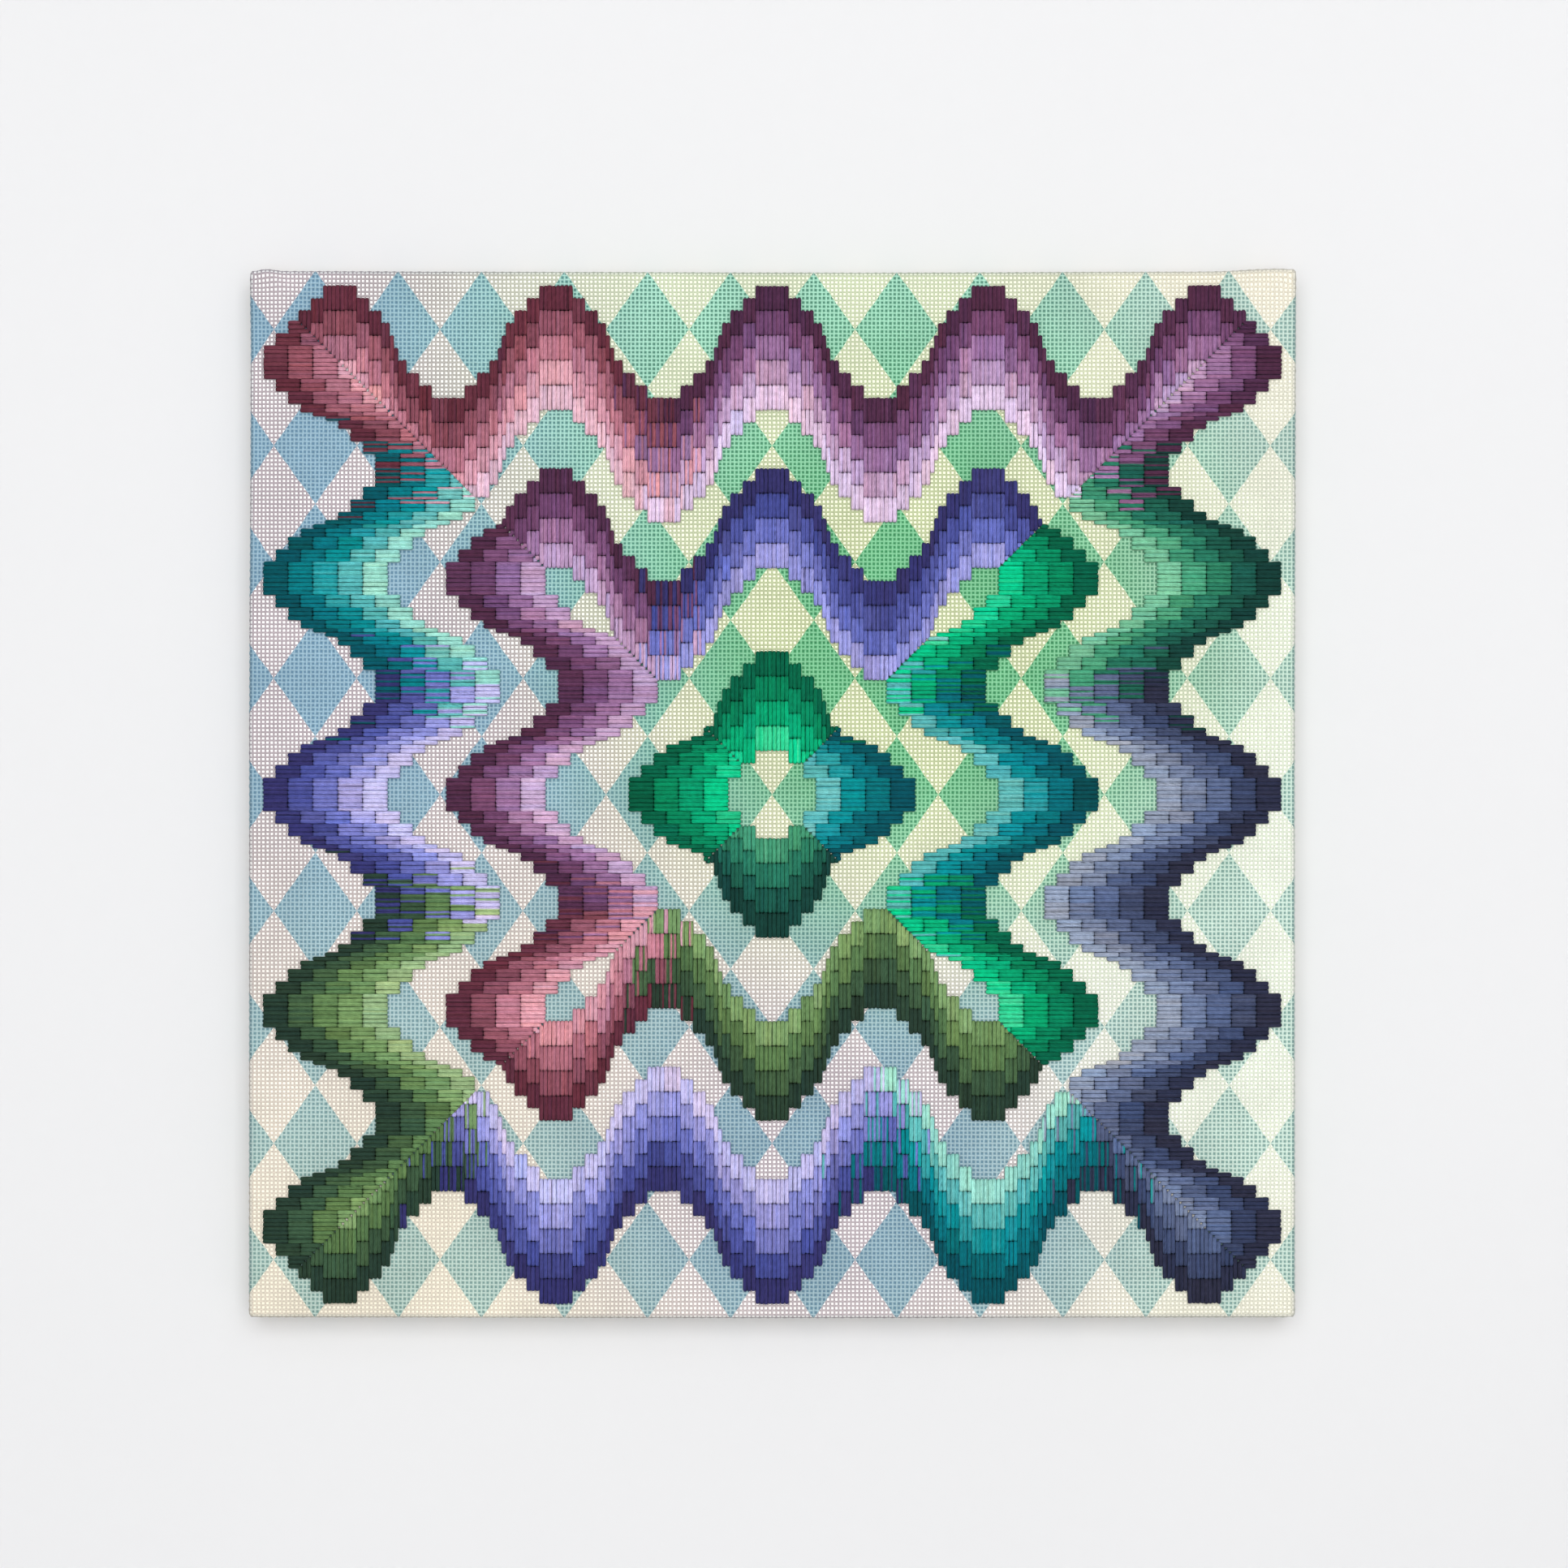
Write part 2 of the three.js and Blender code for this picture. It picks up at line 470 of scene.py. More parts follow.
@dataclass(frozen=True)
class CanvasPaint:
    """The paint on the mesh canvas: lozenges in two tones whose hue drifts over the panel."""

    name: str
    on_threads: bool
    mitre_sum: float
    lozenge_width: float = 40.0
    lozenge_height: float = 56.0
    wobble: float = 0.5
    raw: tuple[int, int, int] = (226, 217, 196)
    # Painted shadow along the fold where the canvas turns over the edge.
    fold_painted_shadow: tuple[int, int, int] = (70, 96, 110)
    # Painted shade in the mitre crease of the back returns.
    crease_painted_shade: tuple[int, int, int] = (108, 98, 80)
    painted_to: float = 243.0

    def tones(self, recipe: NodeRecipe, place: Fed, pale_side: Fed) -> bpy.types.NodeSocket:
        """Mixes the regions' tones at a place.

        Args:
            recipe: The material being made.
            place: The place in halves of the panel.
            pale_side: 1 in the pale lozenges and 0 in the others.

        Returns:
            The painted colour's socket.
        """
        painted = None
        for region in PAINT_REGIONS:
            pale, tone = (
                (region.pale_thread, region.tone_thread)
                if self.on_threads
                else (region.pale_hole, region.tone_hole)
            )
            both = recipe.blend(pale_side, linear(*tone), linear(*pale))
            if painted is None:
                painted = both
                continue
            distance = recipe.add("ShaderNodeVectorMath", operation="DISTANCE")
            recipe.feed(distance.inputs[0], place)
            recipe.feed(distance.inputs[1], (*region.place, 0.0))
            far, near = region.reach
            share = recipe.ramp_between(distance.outputs["Value"], near, far, 1.0, 0.0)
            painted = recipe.blend(share, painted, both)
        return painted

    def lozenges(self, recipe: NodeRecipe, x: Fed, z: Fed, flat: Fed) -> bpy.types.NodeSocket:
        """Draws the lozenges, with edges that are a little unsteady.

        Args:
            recipe: The material being made.
            x: The place across, in threads.
            z: The place up, in threads.
            flat: Both as a vector.

        Returns:
            A socket that is 1 in the pale lozenges and 0 in the others.
        """
        unsteady = recipe.noise(flat, 0.35, 1.0)
        swing = self.wobble * 2 / self.lozenge_width
        shift = recipe.sum_up("MULTIPLY", recipe.sum_up("SUBTRACT", unsteady, 0.5), swing)
        rising = recipe.sum_up("DIVIDE", x, self.lozenge_width / 2)
        leaning = recipe.sum_up("DIVIDE", z, self.lozenge_height / 2)
        rows = [
            recipe.sum_up("FLOOR", recipe.sum_up("ADD", recipe.sum_up(way, rising, leaning), shift))
            for way in ("ADD", "SUBTRACT")
        ]
        halves = recipe.sum_up("FRACT", recipe.sum_up("MULTIPLY", recipe.sum_up("ADD", *rows), 0.5))
        return recipe.sum_up("GREATER_THAN", halves, 0.25)

    def material(self) -> bpy.types.Material:
        """Makes the painted canvas material, which follows the canvas round its folds."""
        recipe = NodeRecipe(self.name)
        x, z = thread_place(recipe, 0.5)
        flat = recipe.vector_of(x, z)
        place = recipe.vector_of(
            recipe.sum_up("DIVIDE", x, float(HALF_THREADS)), recipe.sum_up("DIVIDE", z, float(HALF_THREADS))
        )
        painted = self.tones(recipe, place, self.lozenges(recipe, x, z, flat))
        brushed = recipe.noise(flat, 0.045, 3.0, 0.6)
        flecks = recipe.noise(flat, 1.4, 2.0)
        cloud = recipe.ramp_between(brushed, 0.3, 0.7, 0.93, 1.06)
        fleck = recipe.ramp_between(flecks, 0.25, 0.75, 0.94, 1.06)
        painted = recipe.shaded(painted, recipe.sum_up("MULTIPLY", cloud, fleck))
        if self.on_threads:
            # The threads' attribute is painted shade: darker at their feet and where they dip under a
            # crossing thread.
            painted_thread_shade = recipe.add("ShaderNodeAttribute", attribute_name=SHADE).outputs["Color"]
            painted = recipe.blend(1.0, painted, painted_thread_shade, "MULTIPLY")
        from_middle = [recipe.sum_up("ABSOLUTE", way) for way in (x, z)]
        furthest = recipe.sum_up("MAXIMUM", *from_middle)
        edge = recipe.sum_up("SUBTRACT", furthest, float(HALF_THREADS))
        # Painted shadow: a dark band along the fold at the edge of the front.
        fold = recipe.ramp_between(recipe.sum_up("ABSOLUTE", edge), 0.2, 1.3, 0.3, 0.0)
        painted = recipe.blend(fold, painted, linear(*self.fold_painted_shadow))
        ragged = recipe.sum_up("MULTIPLY", recipe.noise(flat, 0.12, 3.0), 2.0)
        limit = recipe.sum_up("ADD", furthest, ragged)
        bare = recipe.ramp_between(limit, self.painted_to / PITCH, self.painted_to / PITCH + 1.5)
        colour = recipe.blend(bare, painted, linear(*self.raw))
        # Painted shade: a dark line along the mitre crease, only on the back returns.
        both = recipe.sum_up("ADD", *from_middle)
        from_mitre = recipe.sum_up("SUBTRACT", self.mitre_sum / PITCH, both)
        crease_shade_mask = recipe.ramp_between(from_mitre, 0.05, 0.8, 0.6, 0.0)
        crease_shade_mask = recipe.sum_up("MULTIPLY", crease_shade_mask, recipe.ramp_between(edge, 10.0, 11.0))
        colour = recipe.blend(crease_shade_mask, colour, linear(*self.crease_painted_shade))
        fibres = recipe.noise(flat, 4.0, 3.0, 0.7)
        if self.on_threads:
            recipe.relief(fibres, 0.00012, 0.6)
        else:
            away = from_thread(recipe, x, z, FAR_THREAD)
            height = recipe.ramp_between(away, 0.05, 0.24, 1.0, 0.0)
            recipe.relief(recipe.sum_up("ADD", height, recipe.sum_up("MULTIPLY", fibres, 0.2)), 0.0004, 0.8)
        rough = recipe.ramp_between(fibres, 0.3, 0.7, 0.82, 0.95)
        return recipe.surface(colour, rough, Specular_IOR_Level=0.25, Sheen_Weight=0.08, Sheen_Roughness=0.6)


@dataclass(frozen=True)
class RawCanvasFinish:
    """The unpainted inner face of the canvas, where the mesh shows in relief and its holes are painted darker
    as shade.
    """

    name: str = "raw canvas"
    thread: tuple[int, int, int] = (224, 216, 196)
    hole: tuple[int, int, int] = (150, 142, 124)

    def material(self) -> bpy.types.Material:
        """Makes the raw canvas material."""
        recipe = NodeRecipe(self.name)
        x, z = thread_place(recipe, 0.0)
        start = MAP_SPAN / PITCH / 2 % 1
        raised = recipe.ramp_between(from_thread(recipe, x, z, start), 0.1, 0.3, 1.0, 0.0)
        flat = recipe.vector_of(x, z)
        cloud = recipe.noise(flat, 0.06, 3.0, 0.6)
        fibres = recipe.noise(flat, 4.0, 3.0, 0.7)
        # Painted shade: the holes between the threads are a darker tone of the thread.
        colour = recipe.blend(raised, linear(*self.hole), linear(*self.thread))
        colour = recipe.shaded(colour, recipe.ramp_between(cloud, 0.3, 0.7, 0.9, 1.06))
        recipe.relief(recipe.sum_up("ADD", raised, recipe.sum_up("MULTIPLY", fibres, 0.3)), 0.0005, 0.9)
        rough = recipe.ramp_between(fibres, 0.3, 0.7, 0.85, 0.97)
        return recipe.surface(colour, rough, Specular_IOR_Level=0.2)


@dataclass(frozen=True)
class WoolFinish:
    """One family of wool, in five shades from dark to light, as screen colours."""

    family: Family
    shades: tuple[tuple[int, int, int], ...]
    twist: float = 3.4
    plies: float = 5.0
    lift: float = 1.15
    sheen_step: int = 3

    @property
    def slot(self) -> str:
        """Gives the record's material slot of this wool."""
        return f"yarn_{self.family.value}"

    def shade(self, step: int) -> np.ndarray:
        """Gives the linear colour of one shade, a little lifted for what the plies hide."""
        dye = np.array(linear(*self.shades[min(max(step, 0), len(self.shades) - 1)]))
        return np.clip(self.lift * dye, 0.0, 1.0)

    def material(self) -> bpy.types.Material:
        """Makes the wool: soft twisted plies with a light fuzz, in the colour of each ply, with painted shade
        in the grooves between plies.
        """
        recipe = NodeRecipe(f"wool {self.family.value}")
        dyed = recipe.add("ShaderNodeAttribute", attribute_name=SHADE).outputs["Color"]
        along, around, _ = recipe.parts_of(recipe.own_map(PLY_MAP))
        spiral = recipe.sum_up(
            "ADD",
            recipe.sum_up("MULTIPLY", along, math.tau / self.twist),
            recipe.sum_up("MULTIPLY", around, math.tau * self.plies),
        )
        ply = recipe.sum_up("ADD", recipe.sum_up("MULTIPLY", recipe.sum_up("SINE", spiral), 0.5), 0.5)
        hair = recipe.noise(
            recipe.vector_of(recipe.sum_up("MULTIPLY", along, 0.8), recipe.sum_up("MULTIPLY", around, 9.0)),
            2.2, 3.0, 0.65,
        )
        place = recipe.object_place()
        heather = recipe.ramp_between(recipe.noise(place, 420.0, 2.0), 0.3, 0.7, 0.9, 1.1)
        # Painted shade in the grooves between the twisted plies; the heather and the hair noise are the
        # wool's own tone.
        groove_shade = recipe.ramp_between(ply, 0.0, 0.6, 0.88, 1.03)
        lit = recipe.sum_up("MULTIPLY", heather, groove_shade)
        lit = recipe.sum_up("MULTIPLY", lit, recipe.ramp_between(hair, 0.3, 0.75, 0.82, 1.16))
        colour = recipe.shaded(dyed, lit)
        raised = recipe.sum_up("MULTIPLY", ply, 0.6)
        height = recipe.sum_up("ADD", raised, recipe.sum_up("MULTIPLY", hair, 0.5))
        recipe.relief(height, 0.00022, 0.7)
        rough = recipe.ramp_between(hair, 0.3, 0.7, 0.8, 0.95)
        return recipe.surface(
            colour, rough, Specular_IOR_Level=0.12, Sheen_Weight=0.14, Sheen_Roughness=0.5,
            Sheen_Tint=(*linear(*self.shades[self.sheen_step]), 1.0),
        )


WOOLS: dict[Family, WoolFinish] = {
    finish.family: finish
    for finish in (
        WoolFinish(
            Family.ROSE, ((88, 40, 54), (134, 76, 90), (172, 110, 126), (202, 144, 158), (212, 174, 190))
        ),
        WoolFinish(
            Family.PLUM, ((72, 38, 62), (106, 66, 102), (144, 104, 144), (180, 148, 182), (212, 188, 214))
        ),
        WoolFinish(
            Family.TEAL, ((0, 74, 84), (0, 104, 114), (0, 134, 140), (84, 168, 168), (146, 206, 192))
        ),
        WoolFinish(
            Family.IRIS, ((48, 46, 96), (68, 74, 140), (100, 106, 176), (142, 142, 202), (188, 182, 222))
        ),
        WoolFinish(
            Family.OLIVE, ((34, 54, 44), (56, 82, 58), (84, 114, 70), (112, 144, 92), (146, 172, 124))
        ),
        WoolFinish(
            Family.EMERALD, ((0, 88, 62), (0, 124, 84), (0, 156, 106), (0, 186, 130), (96, 208, 160))
        ),
        WoolFinish(
            Family.SLATE, ((40, 42, 62), (56, 66, 96), (84, 96, 128), (110, 122, 150), (140, 150, 170))
        ),
        WoolFinish(
            Family.FOREST, ((16, 56, 50), (24, 84, 70), (36, 112, 88), (64, 144, 108), (112, 178, 144))
        ),
    )
}


@dataclass(frozen=True)
class PineFinish:
    """Bare planed pine with fine growth lines along a bar."""

    grain: Grain
    early: tuple[int, int, int] = (230, 204, 162)
    late: tuple[int, int, int] = (204, 164, 114)
    pore: tuple[int, int, int] = (150, 104, 62)
    along_grain: float = 1.4
    across_grain: float = 70.0

    def material(self) -> bpy.types.Material:
        """Makes the pine, with its grain along the bar."""
        recipe = NodeRecipe(f"pine {self.grain.value}")
        along, across = self.along_grain, self.across_grain
        stretch = (along, across, across) if self.grain is Grain.ACROSS else (across, across, along)
        mapping = recipe.add("ShaderNodeMapping")
        mapping.inputs["Scale"].default_value = stretch
        recipe.join(recipe.object_place(), mapping.inputs["Vector"])
        lay = mapping.outputs[0]
        slow = recipe.noise(lay, 0.9, 2.0)
        rings = recipe.sum_up("PINGPONG", recipe.sum_up("MULTIPLY", slow, 11.0), 0.5)
        line = recipe.ramp_between(rings, 0.18, 0.5)
        pores = recipe.noise(lay, 9.0, 4.0, 0.7)
        colour = recipe.blend(line, linear(*self.early), linear(*self.late))
        dark = recipe.ramp_between(pores, 0.5, 0.85, 0.0, 0.35)
        colour = recipe.blend(dark, colour, linear(*self.pore))
        fine = recipe.noise(lay, 42.0, 3.0, 0.75)
        colour = recipe.shaded(colour, recipe.ramp_between(fine, 0.3, 0.7, 0.86, 1.1))
        recipe.relief(recipe.sum_up("ADD", recipe.sum_up("ADD", line, pores), fine), 0.00015, 0.4)
        rough = recipe.ramp_between(pores, 0.3, 0.8, 0.55, 0.75)
        return recipe.surface(colour, rough, Specular_IOR_Level=0.35)


@dataclass(frozen=True)
class StudioPaint:
    """Plain matt paint of the stage, clear from behind where it is a backdrop."""

    name: str
    colour: tuple[int, int, int]
    clear_behind: bool = False

    def material(self) -> bpy.types.Material:
        """Makes the stage's paint."""
        recipe = NodeRecipe(self.name)
        mottled = recipe.noise(recipe.object_place(), 2.5, 2.0)
        shade = recipe.ramp_between(mottled, 0.3, 0.7, 0.992, 1.004)
        colour = recipe.shaded(linear(*self.colour), shade)
        material = recipe.surface(colour, 0.95, Specular_IOR_Level=0.1)
        if self.clear_behind:
            clear = recipe.add("ShaderNodeBsdfTransparent")
            choice = recipe.add("ShaderNodeMixShader")
            recipe.join(recipe.add("ShaderNodeNewGeometry").outputs["Backfacing"], choice.inputs[0])
            recipe.join(recipe.shader.outputs[0], choice.inputs[1])
            recipe.join(clear.outputs[0], choice.inputs[2])
            recipe.join(choice.outputs[0], recipe.output.inputs["Surface"])
        return material


# Shapes


@dataclass
class CornerMap:
    """A UV map given for the corners of each group of polygons."""

    name: str
    groups: list[np.ndarray]


def piece_from_arrays(
    name: str,
    points: np.ndarray,
    groups: Sequence[np.ndarray],
    maps: Sequence[CornerMap] = (),
    shades: np.ndarray | None = None,
) -> bpy.types.Object:
    """Makes one joined mesh of arrays, with smooth shading.

    Args:
        name: The new piece's name.
        points: Points in metres, one row each.
        groups: Arrays of polygons with the same number of corners, as point numbers.
        maps: UV maps for the same groups.
        shades: A linear colour for each point.

    Returns:
        The new object, at the origin.
    """
    mesh = bpy.data.meshes.new(name)
    corners = np.concatenate([group.ravel() for group in groups]).astype(np.int32)
    sizes = np.concatenate([np.full(len(group), group.shape[1]) for group in groups])
    starts = np.concatenate([[0], np.cumsum(sizes)[:-1]]).astype(np.int32)
    mesh.vertices.add(len(points))
    mesh.vertices.foreach_set("co", np.ascontiguousarray(points, dtype=np.float32).ravel())
    mesh.loops.add(len(corners))
    mesh.loops.foreach_set("vertex_index", corners)
    mesh.polygons.add(len(sizes))
    mesh.polygons.foreach_set("loop_start", starts)
    mesh.polygons.foreach_set("use_smooth", np.ones(len(sizes), dtype=bool))
    for corner_map in maps:
        layer = mesh.uv_layers.new(name=corner_map.name)
        flat = np.concatenate([group.reshape(-1, 2) for group in corner_map.groups])
        layer.data.foreach_set("uv", np.ascontiguousarray(flat, dtype=np.float32).ravel())
    if shades is not None:
        layer = mesh.color_attributes.new(name=SHADE, type="FLOAT_COLOR", domain="POINT")
        full = np.concatenate([shades, np.ones((len(shades), 1))], axis=1)
        layer.data.foreach_set("color", np.ascontiguousarray(full, dtype=np.float32).ravel())
    mesh.update(calc_edges=True)
    mesh.validate()
    made = bpy.data.objects.new(name, mesh)
    bpy.context.scene.collection.objects.link(made)
    return made


class ArrayHeap:
    """Gathers the arrays of a joined mesh of wool."""

    def __init__(self) -> None:
        """Starts with nothing."""
        self.points: list[np.ndarray] = []
        self.groups: list[np.ndarray] = []
        self.bake: list[np.ndarray] = []
        self.ply: list[np.ndarray] = []
        self.shades: list[np.ndarray] = []
        self.count = 0

    def add(
        self,
        points: np.ndarray,
        groups: Sequence[np.ndarray],
        bake: Sequence[np.ndarray],
        ply: Sequence[np.ndarray],
        shades: np.ndarray,
    ) -> None:
        """Adds points, and polygons that count them from 0.

        Args:
            points: Points in metres.
            groups: Polygons of equal size, one array for each size.
            bake: Their corners in the bake map.
            ply: Their corners in the ply map.
            shades: A linear colour for each point.
        """
        self.points.append(points)
        self.groups.extend(group + self.count for group in groups)
        self.bake.extend(bake)
        self.ply.extend(ply)
        self.shades.append(shades)
        self.count += len(points)

    def build(self, name: str) -> bpy.types.Object:
        """Makes the piece."""
        maps = [CornerMap(BAKE_MAP, self.bake), CornerMap(PLY_MAP, self.ply)]
        return piece_from_arrays(
            name, np.concatenate(self.points), self.groups, maps, np.concatenate(self.shades)
        )


def only(made: bpy.types.Object) -> None:
    """Selects one object alone and makes it the active one."""
    bpy.ops.object.select_all(action="DESELECT")
    made.select_set(True)
    bpy.context.view_layer.objects.active = made


def apply_modifiers(made: bpy.types.Object) -> None:
    """Applies all modifiers of a piece, in order."""
    only(made)
    for modifier in list(made.modifiers):
        bpy.ops.object.modifier_apply(modifier=modifier.name)


def pick_points(made: bpy.types.Object, wanted: Callable[[Vector], bool]) -> None:
    """Selects in edit mode the points that pass a test of their place.

    Args:
        made: The object in edit mode.
        wanted: A test of a point's place.
    """
    bpy.ops.mesh.select_mode(type="VERT")
    bpy.ops.mesh.select_all(action="DESELECT")
    drawn = bmesh.from_edit_mesh(made.data)
    for point in drawn.verts:
        point.select = wanted(point.co)
    drawn.select_flush_mode()
    bmesh.update_edit_mesh(made.data)


def flat_map(across: np.ndarray, up: np.ndarray) -> np.ndarray:
    """Gives the map place of flat places on the canvas, with the whole cloth from 0 to 1."""
    return np.stack([across / MAP_SPAN + 0.5, up / MAP_SPAN + 0.5], axis=-1)


@dataclass
class CanvasLay:
    """Where each point of the flat canvas lies once it is stretched over its bars."""

    half: float = HALF - 0.5
    depth: float = 20.0
    back_depth: float = 0.4
    fold_radius: float = 0.8
    corner_radius: float = 1.7
    cad_corner_radius: float = 2.2
    corner_zone: float = 1.2
    corner_steps: int = 3
    back_window: float = HALF - 26
    settle: float = 10.0
    steps_between: int = 3
    outlines: dict[Side, np.ndarray] = field(init=False)

    def __post_init__(self) -> None:
        """Draws the outline of each side once."""
        self.outlines = {side: self.outline(side) for side in Side}

    @property
    def flat_half(self) -> float:
        """Gives half the width of the part of the canvas that lies flat in front."""
        return self.half - self.fold_radius

    @property
    def fold_length(self) -> float:
        """Gives the length of cloth in one fold."""
        return self.fold_radius * math.pi / 2

    @property
    def side_length(self) -> float:
        """Gives the length of cloth down a side, between its folds."""
        return self.depth - self.back_depth - 2 * self.fold_radius

    @property
    def return_length(self) -> float:
        """Gives the length of cloth that lies on the back."""
        return self.flat_half - self.back_window

    @property
    def back_start(self) -> float:
        """Gives the flat place where the cloth comes to lie on the back."""
        return self.flat_half + 2 * self.fold_length + self.side_length

    @property
    def cloth_half(self) -> float:
        """Gives half the width of the whole cloth."""
        return self.back_start + self.return_length

    def eased(self, rows: Sequence[EdgePoint]) -> list[EdgePoint]:
        """Fills in an edge line between its rows.

        Args:
            rows: The named places of the line.

        Returns:
            The places with eased steps between them.
        """
        line = []
        for start, end in zip(rows, rows[1:]):
            for step in range(self.steps_between):
                share = step / self.steps_between
                ease = (1 - math.cos(math.pi * share)) / 2
                line.append(EdgePoint(
                    start.along + (end.along - start.along) * share,
                    start.out + (end.out - start.out) * ease,
                ))
        line.append(rows[-1])
        return line

    def outline(self, side: Side) -> np.ndarray:
        """Draws one side of the outline as a table.

        Args:
            side: The side to draw.

        Returns:
            Rows of the place along the flat side, the outline's place along and up, and its
            outward direction.
        """
        rows = []
        line = EDGE_LINES[side]
        first, last = line[0], line[-1]
        before, after = EDGE_LINES[side.before()][-1], EDGE_LINES[side.after()][0]
        reach = HALF - self.cad_corner_radius
        start = self.flat_half - self.corner_zone
        steps = range(self.corner_steps + 1)
        corners = (
            (-1, -(reach + before.out), reach + first.out, reversed(steps)),
            (1, reach + after.out, reach + last.out, steps),
        )
        for sign, centre_along, centre_up, turned in corners:
            if sign > 0:
                rows.extend((p.along, p.along, self.half + p.out, 0.0, 1.0) for p in self.eased(line))
            for step in turned:
                share = step / self.corner_steps
                angle = share * math.pi / 4
                rows.append((
                    sign * (start + self.corner_zone * share),
                    centre_along + sign * self.corner_radius * math.sin(angle),
                    centre_up + self.corner_radius * math.cos(angle),
                    sign * math.sin(angle),
                    math.cos(angle),
                ))
        table = np.array(rows)
        return table[np.argsort(table[:, 0], kind="stable")]

    def place(self, across: np.ndarray, up: np.ndarray, height: np.ndarray | float = 0.0) -> np.ndarray:
        """Gives the point of the frame where a place on the flat canvas ends up.

        Args:
            across: Flat millimetres to the right of the canvas centre.
            up: Flat millimetres above the canvas centre.
            height: Millimetres above the canvas surface.

        Returns:
            An array of points in metres.
        """
        across, up, height = np.broadcast_arrays(
            np.asarray(across, float), np.asarray(up, float), np.asarray(height, float)
        )
        turn = np.select([up >= np.abs(across), across > np.abs(up), -up >= np.abs(across)], [0, 1, 2], 3)
        made = np.empty((*across.shape, 3))
        for side in Side:
            here = turn == side.value
            if not here.any():
                continue
            along, out = side.turned(across[here], up[here])
            if side in (Side.RIGHT, Side.LEFT):
                along, out = -along, -out
            plan_along, plan_out, depth = self.place_on_side(side, along, out, height[here])
            made[here] = to_row_frame(*side.turned(plan_along, plan_out), depth)
        return made

    def place_on_side(
        self, side: Side, along: np.ndarray, out: np.ndarray, height: np.ndarray
    ) -> tuple[np.ndarray, np.ndarray, np.ndarray]:
        """Places points of one side's quarter of the canvas.

        Args:
            side: The side.
            along: Flat millimetres along the side.
            out: Flat millimetres outwards from the centre.
            height: Millimetres above the surface.

        Returns:
            The places along, outwards and in front of the wall.
        """
        table = self.outlines[side]
        reach = self.flat_half
        front = out <= reach
        ring = np.where(front, along * reach / np.maximum(out, 1e-6), np.clip(along, -reach, reach))
        edge_along, edge_out, lean_along, lean_out = (
            np.interp(ring, table[:, 0], table[:, column]) for column in range(1, 5)
        )
        length = np.hypot(lean_along, lean_out)
        lean_along, lean_out = lean_along / length, lean_out / length
        radius = self.fold_radius
        weight = np.clip((out - (reach - self.settle)) / self.settle, 0, 1)
        weight = weight * weight * (3 - 2 * weight)
        front_along = along + (edge_along - radius * lean_along - ring) * weight
        front_out = out + (edge_out - radius * lean_out - reach) * weight
        past = np.maximum(out - reach, 0)
        first = np.clip(past / radius, 0, math.pi / 2)
        down = np.clip(past - self.fold_length, 0, self.side_length)
        second = np.clip((past - self.fold_length - self.side_length) / radius, 0, math.pi / 2)
        inward = np.maximum(out - self.back_start, 0)
        inset = radius * (1 - np.sin(first)) + radius * (1 - np.cos(second)) + inward
        drop = radius * (1 - np.cos(first)) + down + radius * np.sin(second)
        angle = first + second
        shift = inset - np.sin(angle) * height
        side_out = edge_out - lean_out * shift
        side_along = edge_along - lean_along * shift
        side_along = np.where(inward > 0, np.clip(side_along, -side_out, side_out), side_along)
        side_depth = self.depth - drop + np.cos(angle) * height
        return (
            np.where(front, front_along, side_along),
            np.where(front, front_out, side_out),
            np.where(front, self.depth + height, side_depth),
        )


# The stitch chart


@dataclass(frozen=True)
class Ring:
    """One ring of waves: its crest row, shades, waves a side and families round the panel."""

    name: str
    crest_row: int
    shades: int
    per_side: int
    families: tuple[Family, ...]

    def order(self, side: Side, wave: int) -> int:
        """Gives a wave's place in the round of families."""
        return (side.value * self.per_side + wave + self.per_side // 2) % (4 * self.per_side)


OUTER_FAMILIES: tuple[Family, ...] = (
    Family.ROSE, Family.ROSE, Family.PLUM, Family.PLUM,
    Family.PLUM, Family.FOREST, Family.SLATE, Family.SLATE,
    Family.SLATE, Family.TEAL, Family.IRIS, Family.IRIS,
    Family.OLIVE, Family.OLIVE, Family.IRIS, Family.TEAL,
)
MIDDLE_FAMILIES: tuple[Family, ...] = (
    Family.PLUM, Family.IRIS, Family.IRIS,
    Family.EMERALD, Family.TEAL, Family.EMERALD,
    Family.OLIVE, Family.OLIVE, Family.ROSE,
    Family.ROSE, Family.PLUM, Family.PLUM,
)
CENTRE_FAMILIES: tuple[Family, ...] = (Family.EMERALD, Family.TEAL, Family.FOREST, Family.EMERALD)
RINGS: tuple[Ring, ...] = (
    Ring("outer", 122, 5, 4, OUTER_FAMILIES),
    Ring("middle", 78, 4, 3, MIDDLE_FAMILIES),
    Ring("centre", 34, 4, 1, CENTRE_FAMILIES),
)


class Stitch(NamedTuple):
    """One long stitch, counted in the columns and rows of its side.

    The step is its shade and the block its place in the wave. The share is how much of it is
    dyed as the family beside its own.
    """

    column: int
    high: int
    low: int
    step: int
    block: int
    family: Family
    other: Family
    share: float


@dataclass
class Wave:
    """The stitches of one wave, and the node that they stand for."""

    node: str
    side: Side
    family: Family
    stitches: list[Stitch] = field(default_factory=list)

    def numbers(self, part: str) -> np.ndarray:
        """Gives one number of each stitch, such as its column."""
        return np.array([getattr(stitch, part) for stitch in self.stitches])


